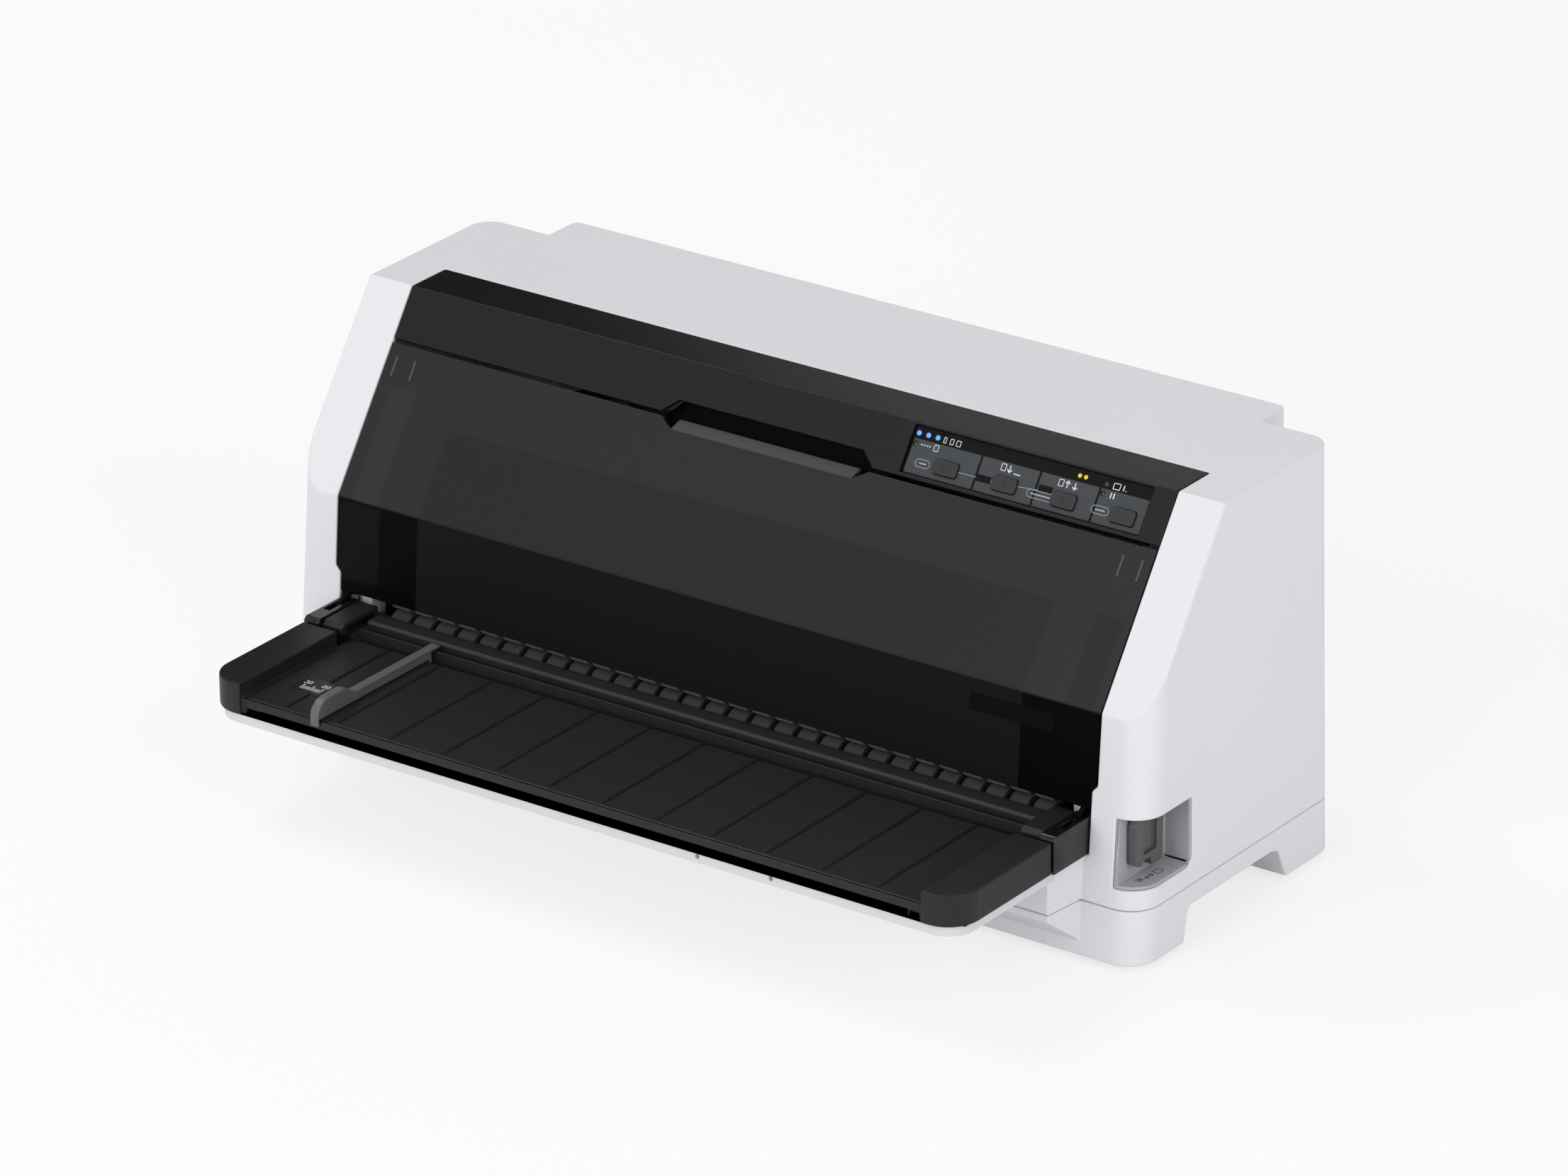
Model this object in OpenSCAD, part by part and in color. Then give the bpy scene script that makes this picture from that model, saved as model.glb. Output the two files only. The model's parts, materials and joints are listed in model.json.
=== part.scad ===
// Flatbed dot matrix printer, modelled as it comes apart on a bench.
// Every piece is drawn from the fold line of the front: x = 0 on the centre plane,
// y = 0 at the fold of the cover, z = 0 at the bottom edge of the case.
// at_fold() then carries it to the part's own frame, which stands on its feet.

/* [Case] */
// Width of the case along its bottom edge
case_w = 480; // [460:1:500]
// Height of the case above its bottom edge
case_h = 200; // [194:1:210]
// Height of the parting line between lower and upper case
split_z = 26; // [25:0.5:30]
// Height of the fold where the front leans back
knee_z = 115; // [110:1:120]
// How far the slope runs back from the fold to the top edge
slope_run = 59.7; // [56:0.1:64]
// Depth from the fold to the rear wall beside the bay, at the top
rear_y = 147; // [145:1:155]
// How far the rear bay stands out behind the rear wall
bay_d = 21; // [15:1:26]
// How far the rear bay is set in from each side
bay_in = 40; // [35:1:50]
// Height of the underside of the rear bay
bay_z = 92; // [88:1:110]
// Wall thickness of the casings
wall = 2.8; // [2.4:0.1:3]
// Draft of the side walls, in degrees
side_draft = 0.56; // [0.3:0.02:0.7]
// Lean of the lower front, in degrees
front_lean = 4.9; // [4:0.1:5.5]
// Draft of the rear wall, in degrees
rear_draft = 0.9; // [0.5:0.1:1.2]
// Radius of the two upright front corners
front_r = 15; // [13:0.5:16]
// Radius of the two upright rear corners
rear_r = 11; // [9:0.5:14]
// Gap between two casings that meet
seam = 0.3; // [0.2:0.05:0.4]

/* [Front opening] */
// Width of the pale column beside the cover
column_w = 26.6; // [25:0.1:28]
// How much wider the column gets below the cover
column_step = 2.8; // [2:0.1:3.4]
// Height at which the opening narrows
narrow_z = 78; // [77:0.5:82]
// How far the dark band reaches back on the top
band_back_y = 85; // [80:1:95]
// Distance up the slope at which the band begins
band_s = 78; // [76.5:0.5:79]

/* [Apron] */
// How far the apron stands forward of the fold
apron_y = 29.5; // [28.5:0.5:31]
// Height of the shelf that carries the sheet table
shelf_z = 48; // [47.5:0.1:48.4]
// How far the apron is set in from the opening
apron_in = 7.9; // [6.4:0.5:10.4]

/* [Grips and feet] */
// Height of the hand grip arches
grip_z = 16.5; // [14:0.5:18]
// How far the hand grips reach in from the sides
grip_d = 29; // [24:1:30]
// Where the hand grips start behind the fold
grip_y0 = 30; // [28:1:34]
// Where the hand grips end behind the fold
grip_y1 = 104; // [96:1:108]
// Height of the rubber feet
foot_h = 2.5; // [2:0.1:4]
// Radius of the rubber feet
foot_r = 8; // [6:0.5:9]

/* [Cover] */
// Thickness of the see-through cover
cover_t = 2.5; // [2:0.1:3]
// Height of the lower edge of the cover
cover_z = 69.5; // [69:0.1:70.5]
// Gap between the cover and its neighbours
cover_gap = 0.6; // [0.4:0.1:0.9]
// Distance up the slope at which the cover ends
cover_s = 76; // [74:0.5:76.5]
// Pivot of the cover, in front of the fold
pivot_y = 8; // [7.5:0.1:8.5]
// Height of the pivot of the cover
pivot_z = 62; // [61.6:0.1:62.4]
// Radius of the pivot pins
pivot_r = 2; // [1.5:0.1:2.4]

/* [Sheet table] */
// Gap between the table and the columns
table_in = 1.1; // [0.6:0.1:3]
// Distance of the front of the table from the fold
table_y = 104.5; // [100:0.5:112]
// Height of the flat deck
deck_z = 57; // [56.5:0.1:57.4]
// Height of the side rails
rail_z = 64; // [63:0.5:65]
// Width of each side rail
rail_w = 20; // [18.5:0.1:20.1]
// Radius of the front corners of the table
table_r = 16; // [12:0.5:20]
// Thickness of the pale tray under the table
tray_t = 5.2; // [4.6:0.1:5.6]

/* [Control panel] */
// How far the panel is set in from the right end of the band
panel_in = 12.1; // [10:0.1:15]
// Width of the panel
panel_w = 128.6; // [126:0.1:132]
// Height of the panel along the slope
panel_h = 22.8; // [21.5:0.1:23]
// Distance up the slope of the lower edge of the panel
panel_s = 79.8; // [79.6:0.1:80.2]
// Width of a key
key_w = 12.6; // [11:0.1:14]
// Height of a key along the slope
key_l = 7; // [6:0.1:8]
// Travel of a key
key_travel = 0.8; // [0.5:0.1:0.9]

/* [Print mechanism] */
// Radius of the platen
platen_r = 12.5; // [11.5:0.1:12.8]
// Radius of the lower feed rollers
feed_r = 8; // [7:0.1:8.4]
// Radius of the upper follower rollers
follower_r = 5; // [4:0.1:5.2]
// Radius of the shaft that carries the carriage
rod_r = 6; // [5:0.1:6.4]
// Half width of the carriage
carriage_half = 30; // [26:0.5:32]
// Half length of the travel of the carriage
carriage_travel = 160; // [150:1:162]
// Gear module
gear_m = 1; // [1:0.5:1]
// Teeth of the platen gear
platen_teeth = 25; // [25:1:25]
// Thickness of the steel side frames
frame_t = 1.6; // [1.2:0.1:2]
// Running clearance of shafts in their bores
run = 0.06; // [0.04:0.01:0.09]

/* [Paper lever] */
// Height of the window round the paper lever
lever_win_h = 33; // [31:0.5:34]
// Height of the lower edge of the lever window
lever_win_z = 35.6; // [35.4:0.1:37]
// Where the lever window ends on the side
lever_win_y = 34; // [33:0.5:36]
// How far the lever window reaches in from the side
lever_win_w = 16; // [15:0.1:16.5]

/* [Hidden] */

$fn = 48;
e = 0.01;
big = 600;

// --- colours ---
shell_white = [0.88, 0.88, 0.90];
band_black = [0.12, 0.12, 0.13];
smoke = [0.2, 0.2, 0.22, 0.85];
satin_black = [0.15, 0.15, 0.16];
mid_grey = [0.42, 0.42, 0.43];
steel = [0.7, 0.71, 0.73];
nylon = [0.92, 0.92, 0.9];
rubber_black = [0.08, 0.08, 0.08];
board_green = [0.1, 0.35, 0.2];

// --- case ---
case_half = case_w / 2;
open_half = case_half - column_w;
low_half = open_half - column_step;
apron_half = open_half - apron_in;
table_half = low_half - table_in;
deck_half = table_half - rail_w;
bay_half = case_half - bay_in;
panel_x0 = open_half - panel_in - panel_w;
lever_win_x = case_half - lever_win_w;
slope_rise = case_h - knee_z;
slope_len = sqrt(slope_run * slope_run + slope_rise * slope_rise);
slope_a = atan2(slope_rise, slope_run);
bay_y = rear_y + bay_d;
function front_y(z) = -(knee_z - z) * tan(front_lean);
function back_y(z) = rear_y + (case_h - z) * tan(rear_draft);
function side_x(z) = case_half - z * tan(side_draft);
// A point [y, z] at distance s up the slope and depth d below its surface
function on_slope(s, d = 0) = [s * cos(slope_a) + d * sin(slope_a),
                               knee_z + s * sin(slope_a) - d * cos(slope_a)];

// --- the frame of the whole part ---
part_y = (table_y - bay_y) / 2;
module at_fold() translate([0, part_y, foot_h]) children();

// --- shared helpers ---
module along_x(w, x = 0) translate([x, 0, 0]) rotate([90, 0, 90]) linear_extrude(w, center = true) children();
module along_y(l, y = 0) translate([0, y, 0]) rotate([90, 0, 0]) linear_extrude(l, center = true) children();
module rod_x(r, x0, x1, y, z) translate([x0, y, z]) rotate([0, 90, 0]) cylinder(r = r, h = x1 - x0);
module rod_y(r, y0, y1, x, z) translate([x, y1, z]) rotate([90, 0, 0]) cylinder(r = r, h = y1 - y0);
module box(x0, x1, y0, y1, z0, z1) translate([x0, y0, z0]) cube([x1 - x0, y1 - y0, z1 - z0]);
module both() { children(); mirror([1, 0, 0]) children(); }
module rounded(w, h, r) {
  square([w - 2 * r, h], center = true);
  square([w, h - 2 * r], center = true);
  for (sx = [-1, 1], sy = [-1, 1]) translate([sx * (w / 2 - r), sy * (h / 2 - r)]) circle(r);
}
// Draws on the slope: x across, y up the slope from the fold, z out of its surface
module slope_frame() translate([0, 0, knee_z]) rotate([slope_a, 0, 0]) children();
// Outline moved inwards by t, corner by corner; the points run anticlockwise
function unit(v) = v / norm(v);
function left_of(v) = [-v[1], v[0]];
function inset(p, t) = [for (i = [0 : len(p) - 1])
  let (a = p[(i + len(p) - 1) % len(p)], b = p[i], c = p[(i + 1) % len(p)],
       n1 = left_of(unit(b - a)), n2 = left_of(unit(c - b)))
  b + (n1 + n2) * t / (1 + n1 * n2)];

// --- case solid, inset by t ---
function case_side(z0) = [[front_y(z0), z0], [back_y(z0), z0], [rear_y, case_h],
                          [slope_run, case_h], [0, knee_z]];
function case_face(z0) = [[-side_x(z0), z0], [side_x(z0), z0],
                          [side_x(case_h), case_h], [-side_x(case_h), case_h]];
// Cuts an upright edge round; its flats stay this far outside the walls
corner_clear = 0.03;
module corner_cut(r, reach) linear_extrude(2 * case_h + 20, center = true)
  translate([corner_clear, corner_clear]) difference() {
    translate([-r, -r]) square(r + reach);
    translate([-r, -r]) circle(r, $fn = 72);
  }
module case_block(t = 0, z0 = 0) difference() {
  intersection() {
    along_x(case_w + 10) polygon(inset(case_side(z0), t));
    along_y(big) polygon(inset(case_face(z0), t));
  }
  both() translate([side_x(0) - t, front_y(0) + t, 0]) rotate([-front_lean, -side_draft, 0])
    mirror([0, 1, 0]) corner_cut(front_r - t, 10);
  both() translate([side_x(0) - t, back_y(0) - t, 0]) rotate([rear_draft, -side_draft, 0])
    corner_cut(rear_r - t, 10);
}

// --- apron in front of the lower case, inset by t ---
apron_low_z = 7.2;
apron_turn_z = 22.5;
apron_notch = 3.5;
apron_back_y = -3.5;
function apron_side(back) = [[front_y(apron_low_z), apron_low_z], [back, apron_low_z], [back, shelf_z],
  [-apron_y + apron_notch, shelf_z], [-apron_y + apron_notch, shelf_z - tray_t],
  [-apron_y, shelf_z - tray_t], [-apron_y, apron_turn_z]];
module apron_block(t = 0, back = apron_back_y) intersection() {
  along_x(case_w) polygon(inset(apron_side(back), t));
  linear_extrude(2 * case_h, center = true) polygon([
    [-apron_half + t, -apron_y - 5], [apron_half - t, -apron_y - 5], [apron_half - t, -apron_y],
    [apron_half + 2.4 - t, front_y(0)], [apron_half + 2.4 - t, 20],
    [-apron_half - 2.4 + t, 20], [-apron_half - 2.4 + t, front_y(0)], [-apron_half + t, -apron_y]]);
}

// --- hand grips ---
grip_slant = 4;
module grip(t = 0) along_x(grip_d + t + 10, case_half - grip_d / 2 + 5 - t / 2) polygon([
  [grip_y0 - grip_slant - t, -5], [grip_y1 + grip_slant + 4 + t, -5],
  [grip_y1 + t, grip_z - 2 + t], [grip_y1 - 6 + t, grip_z + t], [grip_y0 + 2 - t, grip_z + t],
  [grip_y0 - t, grip_z - 3 + t]]);

// --- case screws ---
screw_r = 1.5;
screw_head_r = 3.2;
boss_r = 5;
screw_x = case_half - 12.5;
screw_ys = [13, rear_y - 22];
screw_top = lever_win_z - 1.4;
module at_screws() both() for (y = screw_ys) translate([screw_x, y, 0]) children();

module lower_case() color(shell_white) at_fold() difference() {
  union() {
    difference() {
      union() {
        intersection() {
          case_block();
          box(-big, big, -big, big, 0, split_z - seam / 2);
        }
        intersection() {
          apron_block();
          box(-big, big, -big, big, 0, split_z - seam / 2);
        }
      }
      difference() {
        union() {
          intersection() {
            case_block(wall, -20);
            box(-big, big, -big, big, wall, case_h);
          }
          intersection() {
            apron_block(wall, 20);
            box(-big, big, -big, big, wall, case_h);
          }
        }
        both() grip(wall);
      }
      both() grip();
    }
    at_screws() cylinder(r = boss_r, h = split_z - seam / 2);
  }
  at_screws() {
    translate([0, 0, -e]) cylinder(r = screw_head_r + 0.3, h = 10);
    cylinder(r = screw_r + run, h = split_z + 5);
  }
}

foot_x = case_half - 25;
stop_r = 5;
stop_pin_r = 2;
stop_x = case_half - 28;
stop_z = case_h - 9;
stop_y = back_y(stop_z - stop_r);
module rubber_feet() color(rubber_black) at_fold()
  both() {
    for (y = [6, rear_y - 20]) translate([foot_x, y, -foot_h]) cylinder(r = foot_r, h = foot_h);
    // Stop on the rear wall, beside the bay
    rod_y(stop_r, stop_y, stop_y + 3, stop_x, stop_z);
    rod_y(stop_r - 1.8, stop_y + 3, stop_y + 5, stop_x, stop_z);
    rod_y(stop_pin_r, stop_y - 3, stop_y, stop_x, stop_z);
  }

// --- lever window in the right front corner ---
lever_win_r = 6;
module lever_window(t = 0) {
  x0 = lever_win_x + t;
  y1 = lever_win_y - t;
  z0 = lever_win_z + t;
  z1 = lever_win_z + lever_win_h;
  r = lever_win_r - t;
  difference() {
    box(x0, case_half + 5, -20, y1, z0, z1);
    along_x(40, case_half) difference() {
      translate([y1 - r, z0 - 5]) square([r + 5, r + 5]);
      translate([y1 - r, z0 + r]) circle(r);
    }
  }
}

// --- openings in the rear wall ---
slot_half = bay_half - 10;
slot_z0 = 56;
port_x0 = -bay_half + 28;
port_x1 = port_x0 + 110;
port_z0 = 31;
port_z1 = 53;
inlet_x = bay_half - 50;
inlet_z = 43;
inlet_w = 27.4;
inlet_h = 20;
switch_y = 52;
switch_z = 46;
switch_l = 21;
switch_h = 13;
switch_pivot = 6;
switch_pin_r = 1.2;
switch_tilt = 6;

module vents(n, pitch) for (i = [0 : n - 1]) translate([(i - (n - 1) / 2) * pitch, 0]) children();

module upper_case() color(shell_white) at_fold() difference() {
  union() {
    difference() {
      union() {
        intersection() {
          case_block();
          box(-big, big, -big, big, split_z + seam / 2, case_h + 1);
        }
        intersection() {
          apron_block();
          box(-big, big, -big, big, split_z + seam / 2, case_h + 1);
        }
        bay_block(0);
      }
      case_block(wall, -20);
      apron_block(wall, 20);
      bay_block(wall);
      // Opening for cover and band
      along_y(band_back_y + 60, (band_back_y - 60) / 2) polygon([
        [-low_half, shelf_z], [low_half, shelf_z], [low_half, narrow_z],
        [open_half, narrow_z + (open_half - low_half)], [open_half, case_h + 5],
        [-open_half, case_h + 5], [-open_half, narrow_z + (open_half - low_half)],
        [-low_half, narrow_z]]);
    }
    at_screws() translate([0, 0, split_z + seam / 2]) {
      cylinder(r = boss_r, h = screw_top - split_z);
      translate([0, -1.5, 0]) cube([case_half - screw_x - wall, 3, screw_top - split_z]);
    }
    // Frame round the rocker of the power switch
    box(-side_x(switch_z) + 1, -side_x(switch_z) + 9, switch_y - switch_l / 2 - 2,
        switch_y + switch_l / 2 + 2, switch_z - switch_h / 2 - 2, switch_z + switch_h / 2 + 2);
  }
  at_screws() cylinder(r = screw_r + run, h = screw_top - 2);
  lever_window();
  // Paper slot, ports, inlet and switch
  box(-slot_half, slot_half, rear_y - 10, big, slot_z0, bay_z - e);
  box(port_x0, port_x1, rear_y - 10, big, port_z0, port_z1);
  box(inlet_x - inlet_w / 2, inlet_x + inlet_w / 2, rear_y - 10, big,
      inlet_z - inlet_h / 2, inlet_z + inlet_h / 2);
  box(-big, -case_half + 10, switch_y - switch_l / 2, switch_y + switch_l / 2,
      switch_z - switch_h / 2, switch_z + switch_h / 2);
  translate([-side_x(switch_z) + switch_pivot, switch_y, switch_z])
    cylinder(r = switch_pin_r + run, h = switch_h + 3.4, center = true);
  both() rod_y(stop_pin_r, rear_y - 10, rear_y + 10, stop_x, stop_z);
  // Cooling slots high in the bay's rear wall
  for (k = [-1, 1]) translate([k * (bay_half - 105), 0, 0]) along_y(30, bay_y)
    vents(12, 9) translate([0, case_h - 32]) rounded(4, 26, 1.9);
}

// The rear bay, inset by t
bay_r = 4;
module bay_block(t) intersection() {
  box(-bay_half + t, bay_half - t, rear_y - 30, bay_y - t, bay_z + t, case_h - t);
  translate([0, 0, bay_z]) linear_extrude(case_h) translate([0, bay_y - 50 - t])
    rounded(2 * (bay_half - t), 100, bay_r - t);
}
// --- dark band over the top edge ---
band_t = 3;
notch_s1 = 84.9;
notch_low = panel_x0 - 13.7;
notch_top = notch_low - 7.5;
lip_s = 71.1;
lip_half = notch_low - 8.6;
function panel_mid() = [panel_x0 + panel_w / 2, panel_s + panel_h / 2];
module front_band() color(band_black) at_fold() difference() {
  along_x(2 * (open_half - seam)) polygon([
    on_slope(band_s), on_slope(slope_len), [band_back_y - seam, case_h],
    [band_back_y - seam, case_h - wall], [band_back_y + 6, case_h - wall],
    [band_back_y + 6, case_h - wall - 2], [slope_run + band_t, case_h - band_t],
    on_slope(slope_len - band_t * 0.4, band_t), on_slope(band_s, band_t)]);
  slope_frame() {
    // Finger notch
    translate([0, 0, -20]) linear_extrude(40) polygon([[-notch_low, band_s - 5],
      [notch_low, band_s - 5], [notch_low, band_s], [notch_top, notch_s1],
      [-notch_top, notch_s1], [-notch_low, band_s]]);
    // Window for the control panel
    translate([panel_mid()[0], panel_mid()[1], -20]) linear_extrude(40)
      rounded(panel_w, panel_h, 1);
  }
}

// --- control panel ---
plate_d = 2;
plate_t = 1.6;
film_t = 0.4;
strip_h = 6;
key_pitch = (panel_w - 2) / 4;
key_x0 = panel_x0 + 0.711 * key_pitch;
key_s = 86.5;
key_gap = 0.2;
key_rise = 1.7;
board_d = plate_d + 9;
cell_h = panel_h - strip_h - 0.8;
lamp_r = 1.25;
lamps = [[2.5, 19.4], [7.6, 19.4], [12.7, 19.4], [2.7, 14.4], [panel_w - 24.9, 19.1], [panel_w - 25, 14.5]];
module at_keys() for (i = [0 : 3]) translate([key_x0 + i * key_pitch, key_s, 0]) children();
module at_lamps() for (p = lamps) translate([panel_x0 + p[0], panel_s + p[1], 0]) children();
module key_cut(gap) rounded(key_w + 2 * gap, key_l + 2 * gap, 1.2 + gap);

module panel_plate() color(band_black) at_fold() slope_frame() difference() {
  union() {
    translate([panel_mid()[0], panel_mid()[1], -plate_d - plate_t]) linear_extrude(plate_t)
      rounded(panel_w - 0.1, panel_h - 0.1, 1);
    // Flange that bears on the back of the band
    translate([panel_mid()[0], panel_mid()[1] - 1.4, -band_t - 1.6]) linear_extrude(1.6)
      rounded(panel_w + 6, panel_h - 1.2, 2);
    for (sx = [-1, 1]) translate([panel_mid()[0] + sx * (panel_w / 2 - 4), key_s, -board_d])
      cylinder(r = 3, h = board_d - plate_d - plate_t);
  }
  at_keys() translate([0, 0, -20]) linear_extrude(30) key_cut(key_gap);
  at_lamps() translate([0, 0, -20]) cylinder(r = lamp_r + 0.05, h = 30);
}

module panel_film() color(mid_grey) at_fold() slope_frame() difference() {
  for (i = [0 : 3]) translate([key_x0 + i * key_pitch - key_pitch / 2 + 0.5 - (i == 0 ? 5.9 : 0),
      panel_s + 0.8, -plate_d])
    linear_extrude(film_t) square([key_pitch - 1 + (i == 0 ? 5.9 : 0) - (i == 3 ? 5 : 0), cell_h]);
  at_keys() translate([0, 0, -5]) linear_extrude(10) key_cut(key_gap);
  at_lamps() translate([0, 0, -5]) cylinder(r = lamp_r + 0.05, h = 10);
}

module status_lamps() color([0.3, 0.6, 1]) at_fold() slope_frame()
  at_lamps() translate([0, 0, -board_d]) cylinder(r = lamp_r, h = board_d - plate_d + film_t);

board_t = 1.6;
button_gap = 0.9;
module panel_board() color(board_green) at_fold() slope_frame() {
  translate([panel_mid()[0], key_s + 2, -board_d - board_t / 2]) cube([panel_w, 20, board_t], center = true);
  at_keys() translate([0, 0, -board_d + 1]) cube([6, 6, 2], center = true);
}

module key(i) slope_frame() translate([key_x0 + i * key_pitch, key_s, 0]) {
  translate([0, 0, -plate_d - plate_t - 2]) linear_extrude(plate_t + 2 + key_rise) key_cut(0);
  translate([0, 0, -board_d + 2 + button_gap]) cylinder(r = 1.5, h = board_d - plate_d - plate_t - 2 - button_gap);
}
module font_key() color(band_black) at_fold() key(0);
module feed_key() color(band_black) at_fold() key(1);
module load_key() color(band_black) at_fold() key(2);
module pause_key() color(band_black) at_fold() key(3);

// --- see-through cover ---
arm_x = low_half - 4.2;
arm_t = 2.4;
arm_r = 4.6;
cover_half = open_half - cover_gap;
module cover_outline() along_y(big) polygon([
  [-low_half + cover_gap, cover_z], [low_half - cover_gap, cover_z],
  [low_half - cover_gap, narrow_z], [cover_half, narrow_z + cover_half - low_half + cover_gap],
  [cover_half, case_h + 9], [-cover_half, case_h + 9],
  [-cover_half, narrow_z + cover_half - low_half + cover_gap], [-low_half + cover_gap, narrow_z]]);
function cover_profile(t) = [[front_y(cover_z) + t, cover_z], on_slope(cover_s, t),
  on_slope(cover_s), [0, knee_z], [front_y(cover_z), cover_z]];
module printer_cover() color(smoke) at_fold() {
  difference() {
    intersection() {
      along_x(2 * case_half) polygon([[front_y(cover_z), cover_z], [front_y(cover_z) + cover_t, cover_z],
        [cover_t, knee_z - cover_t * 0.55], on_slope(cover_s, cover_t), on_slope(cover_s), [0, knee_z]]);
      cover_outline();
    }
    slope_frame() translate([0, 0, -20]) linear_extrude(40) polygon([[-lip_half, lip_s],
      [lip_half, lip_s], [notch_low - 1, cover_s], [notch_low - 1, cover_s + 9],
      [-notch_low + 1, cover_s + 9], [-notch_low + 1, cover_s]]);
  }
  // Sunk finger lip
  slope_frame() along_x(2 * lip_half) polygon([[lip_s, 0], [lip_s, -cover_t], [cover_s - 0.4, -6],
    [cover_s + 1, -6], [cover_s + 1, -4.6]]);
  // Arms down to the pivots
  both() difference() {
    union() {
      along_x(arm_t, arm_x) polygon([[-pivot_y - arm_r, pivot_z], [-pivot_y + arm_r, pivot_z],
        [front_y(cover_z) + cover_t, cover_z], [front_y(cover_z), cover_z]]);
      rod_x(arm_r, arm_x - arm_t / 2, arm_x + arm_t / 2, -pivot_y, pivot_z);
      rod_x(pivot_r, arm_x - arm_t / 2 - 1.6, arm_x + arm_t / 2 + 1.6, -pivot_y, pivot_z);
    }
  }
}

tear_half = low_half - 14.6;
tear_h = 3.4;
tooth = 4;
module tear_edge() color(steel) at_fold() translate([0, front_y(cover_z) + cover_t, cover_z])
  rotate([-front_lean, 0, 0]) along_y(0.6, 0.35) polygon(concat(
    [[tear_half, tear_h], [-tear_half, tear_h]],
    [for (i = [0 : 2 * tear_half / tooth]) each [[-tear_half + i * tooth, 1.2],
      if (i < 2 * tear_half / tooth) [-tear_half + (i + 0.5) * tooth, 0.4]]]));

// --- blocks that carry the cover's pivots ---
block_x0 = low_half - 9;
block_x1 = low_half - 0.4;
block_y = 31.5;
block_top = 66;
block_rear = 1.4;
module hinge_block() difference() {
  box(block_x0, block_x1, -block_y, -block_rear, shelf_z, block_top);
  translate([0, -block_y, block_top]) rotate([45, 0, 0]) box(0, big, -1.2, 1.2, -1.2, 1.2);
  // Slot for the arm and the bore for its pins
  box(arm_x - arm_t / 2 - 0.4, arm_x + arm_t / 2 + 0.4, -pivot_y - 11, big, pivot_z - arm_r - 0.6, big);
  rod_x(pivot_r + run, arm_x - arm_t / 2 - 1.8, arm_x + arm_t / 2 + 1.8, -pivot_y, pivot_z);
}
module left_hinge_block() color(satin_black) at_fold() mirror([1, 0, 0]) hinge_block();
module right_hinge_block() color(satin_black) at_fold() hinge_block();

cap_x0 = deck_half + 0.3;
cap_y0 = 29;
cap_top = 65.3;
guide_end_z = 59;
module guide_cap() difference() {
  union() {
    box(cap_x0, block_x0 - 0.2, -cap_y0 + 3, -1.5, guide_end_z, cap_top);
    box(cap_x0, block_x0 - 0.2, -cap_y0, -10, guide_end_z + 1.4, cap_top - 1.5);
    rod_x(1.5, cap_x0, block_x0 - 0.2, -cap_y0 + 1.5 + 1.5, cap_top - 1.5);
  }
  box(cap_x0 - 1, cap_x0 + 7, -cap_y0 + 5, -4, guide_end_z - 1, cap_top - 2.4);
}
module left_guide_cap() color(satin_black) at_fold() mirror([1, 0, 0]) guide_cap();
module right_guide_cap() color(satin_black) at_fold() guide_cap();

// --- sheet table ---
table_z0 = shelf_z + 0.5;
table_rear_y = 32.5;
deck_rear_y = 22.5;
groove_pitch = 30;
groove_w = 0.7;
rib_pitch = 15;
table_wall = 2.5;
nose_in = 2;
scale_x = -deck_half + 11.5;
scale_w = 16.4;
scale_y = -82;
scale_l = 14;
scale_t = 0.8;
module table_plan(t, rear) difference() {
  translate([0, -table_y + 60 + t]) rounded(2 * (table_half - t), 120, table_r - t);
  translate([-big, -rear]) square([2 * big, big]);
}
module sheet_table() color(satin_black) at_fold() difference() {
  union() {
    translate([0, 0, table_z0]) linear_extrude(rail_z - table_z0) table_plan(0, table_rear_y);
    box(-deck_half + 0.2, deck_half - 0.2, -40, -deck_rear_y, shelf_z, deck_z);
  }
  // Flat deck between the rails
  box(-deck_half, deck_half, -table_y - 5, 0, deck_z, big);
  // Sloping edge at the back of the deck
  translate([0, -deck_rear_y, deck_z - 0.8]) rotate([-45, 0, 0]) box(-deck_half, deck_half, -2, 2, 0, 2);
  // Nose of the deck, set back between the rails
  box(-deck_half, deck_half, -table_y - 5, -table_y + nose_in, table_z0 - 1, big);
  translate([0, -table_y + nose_in, deck_z]) rotate([45, 0, 0]) box(-deck_half, deck_half, -0.7, 0.7, -0.7, 0.7);
  // Gap under the nose of the deck, with its ribs left standing
  difference() {
    box(-deck_half + 2, deck_half - 2, -table_y - 5, -table_y + 7, table_z0 - 1, deck_z - 5.4);
    nose_ribs();
  }
  // Hollow underside
  difference() {
    box(-table_half + table_wall, table_half - table_wall, -table_y + 9, -table_rear_y - table_wall,
        table_z0 - 1, deck_z - table_wall);
    for (x = [-deck_half + 19.5 : 2 * rib_pitch : deck_half]) box(x - 0.6, x + 0.6, -big, 0, 0, big);
  }
  for (x = [-deck_half + 23.5 : groove_pitch : deck_half - 10])
    box(x - groove_w / 2, x + groove_w / 2, -table_y + 6, 0, deck_z - 0.5, big);
  box(scale_x - 0.1, scale_x + scale_w + 0.1, scale_y - 0.1, scale_y + scale_l + 0.1,
      deck_z - scale_t, big);
}
module nose_ribs() for (x = [-deck_half + 11 : rib_pitch : deck_half - 5])
  box(x - 0.7, x + 0.7, -table_y + nose_in, -table_y + 8, table_z0 - 2, deck_z);

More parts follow.
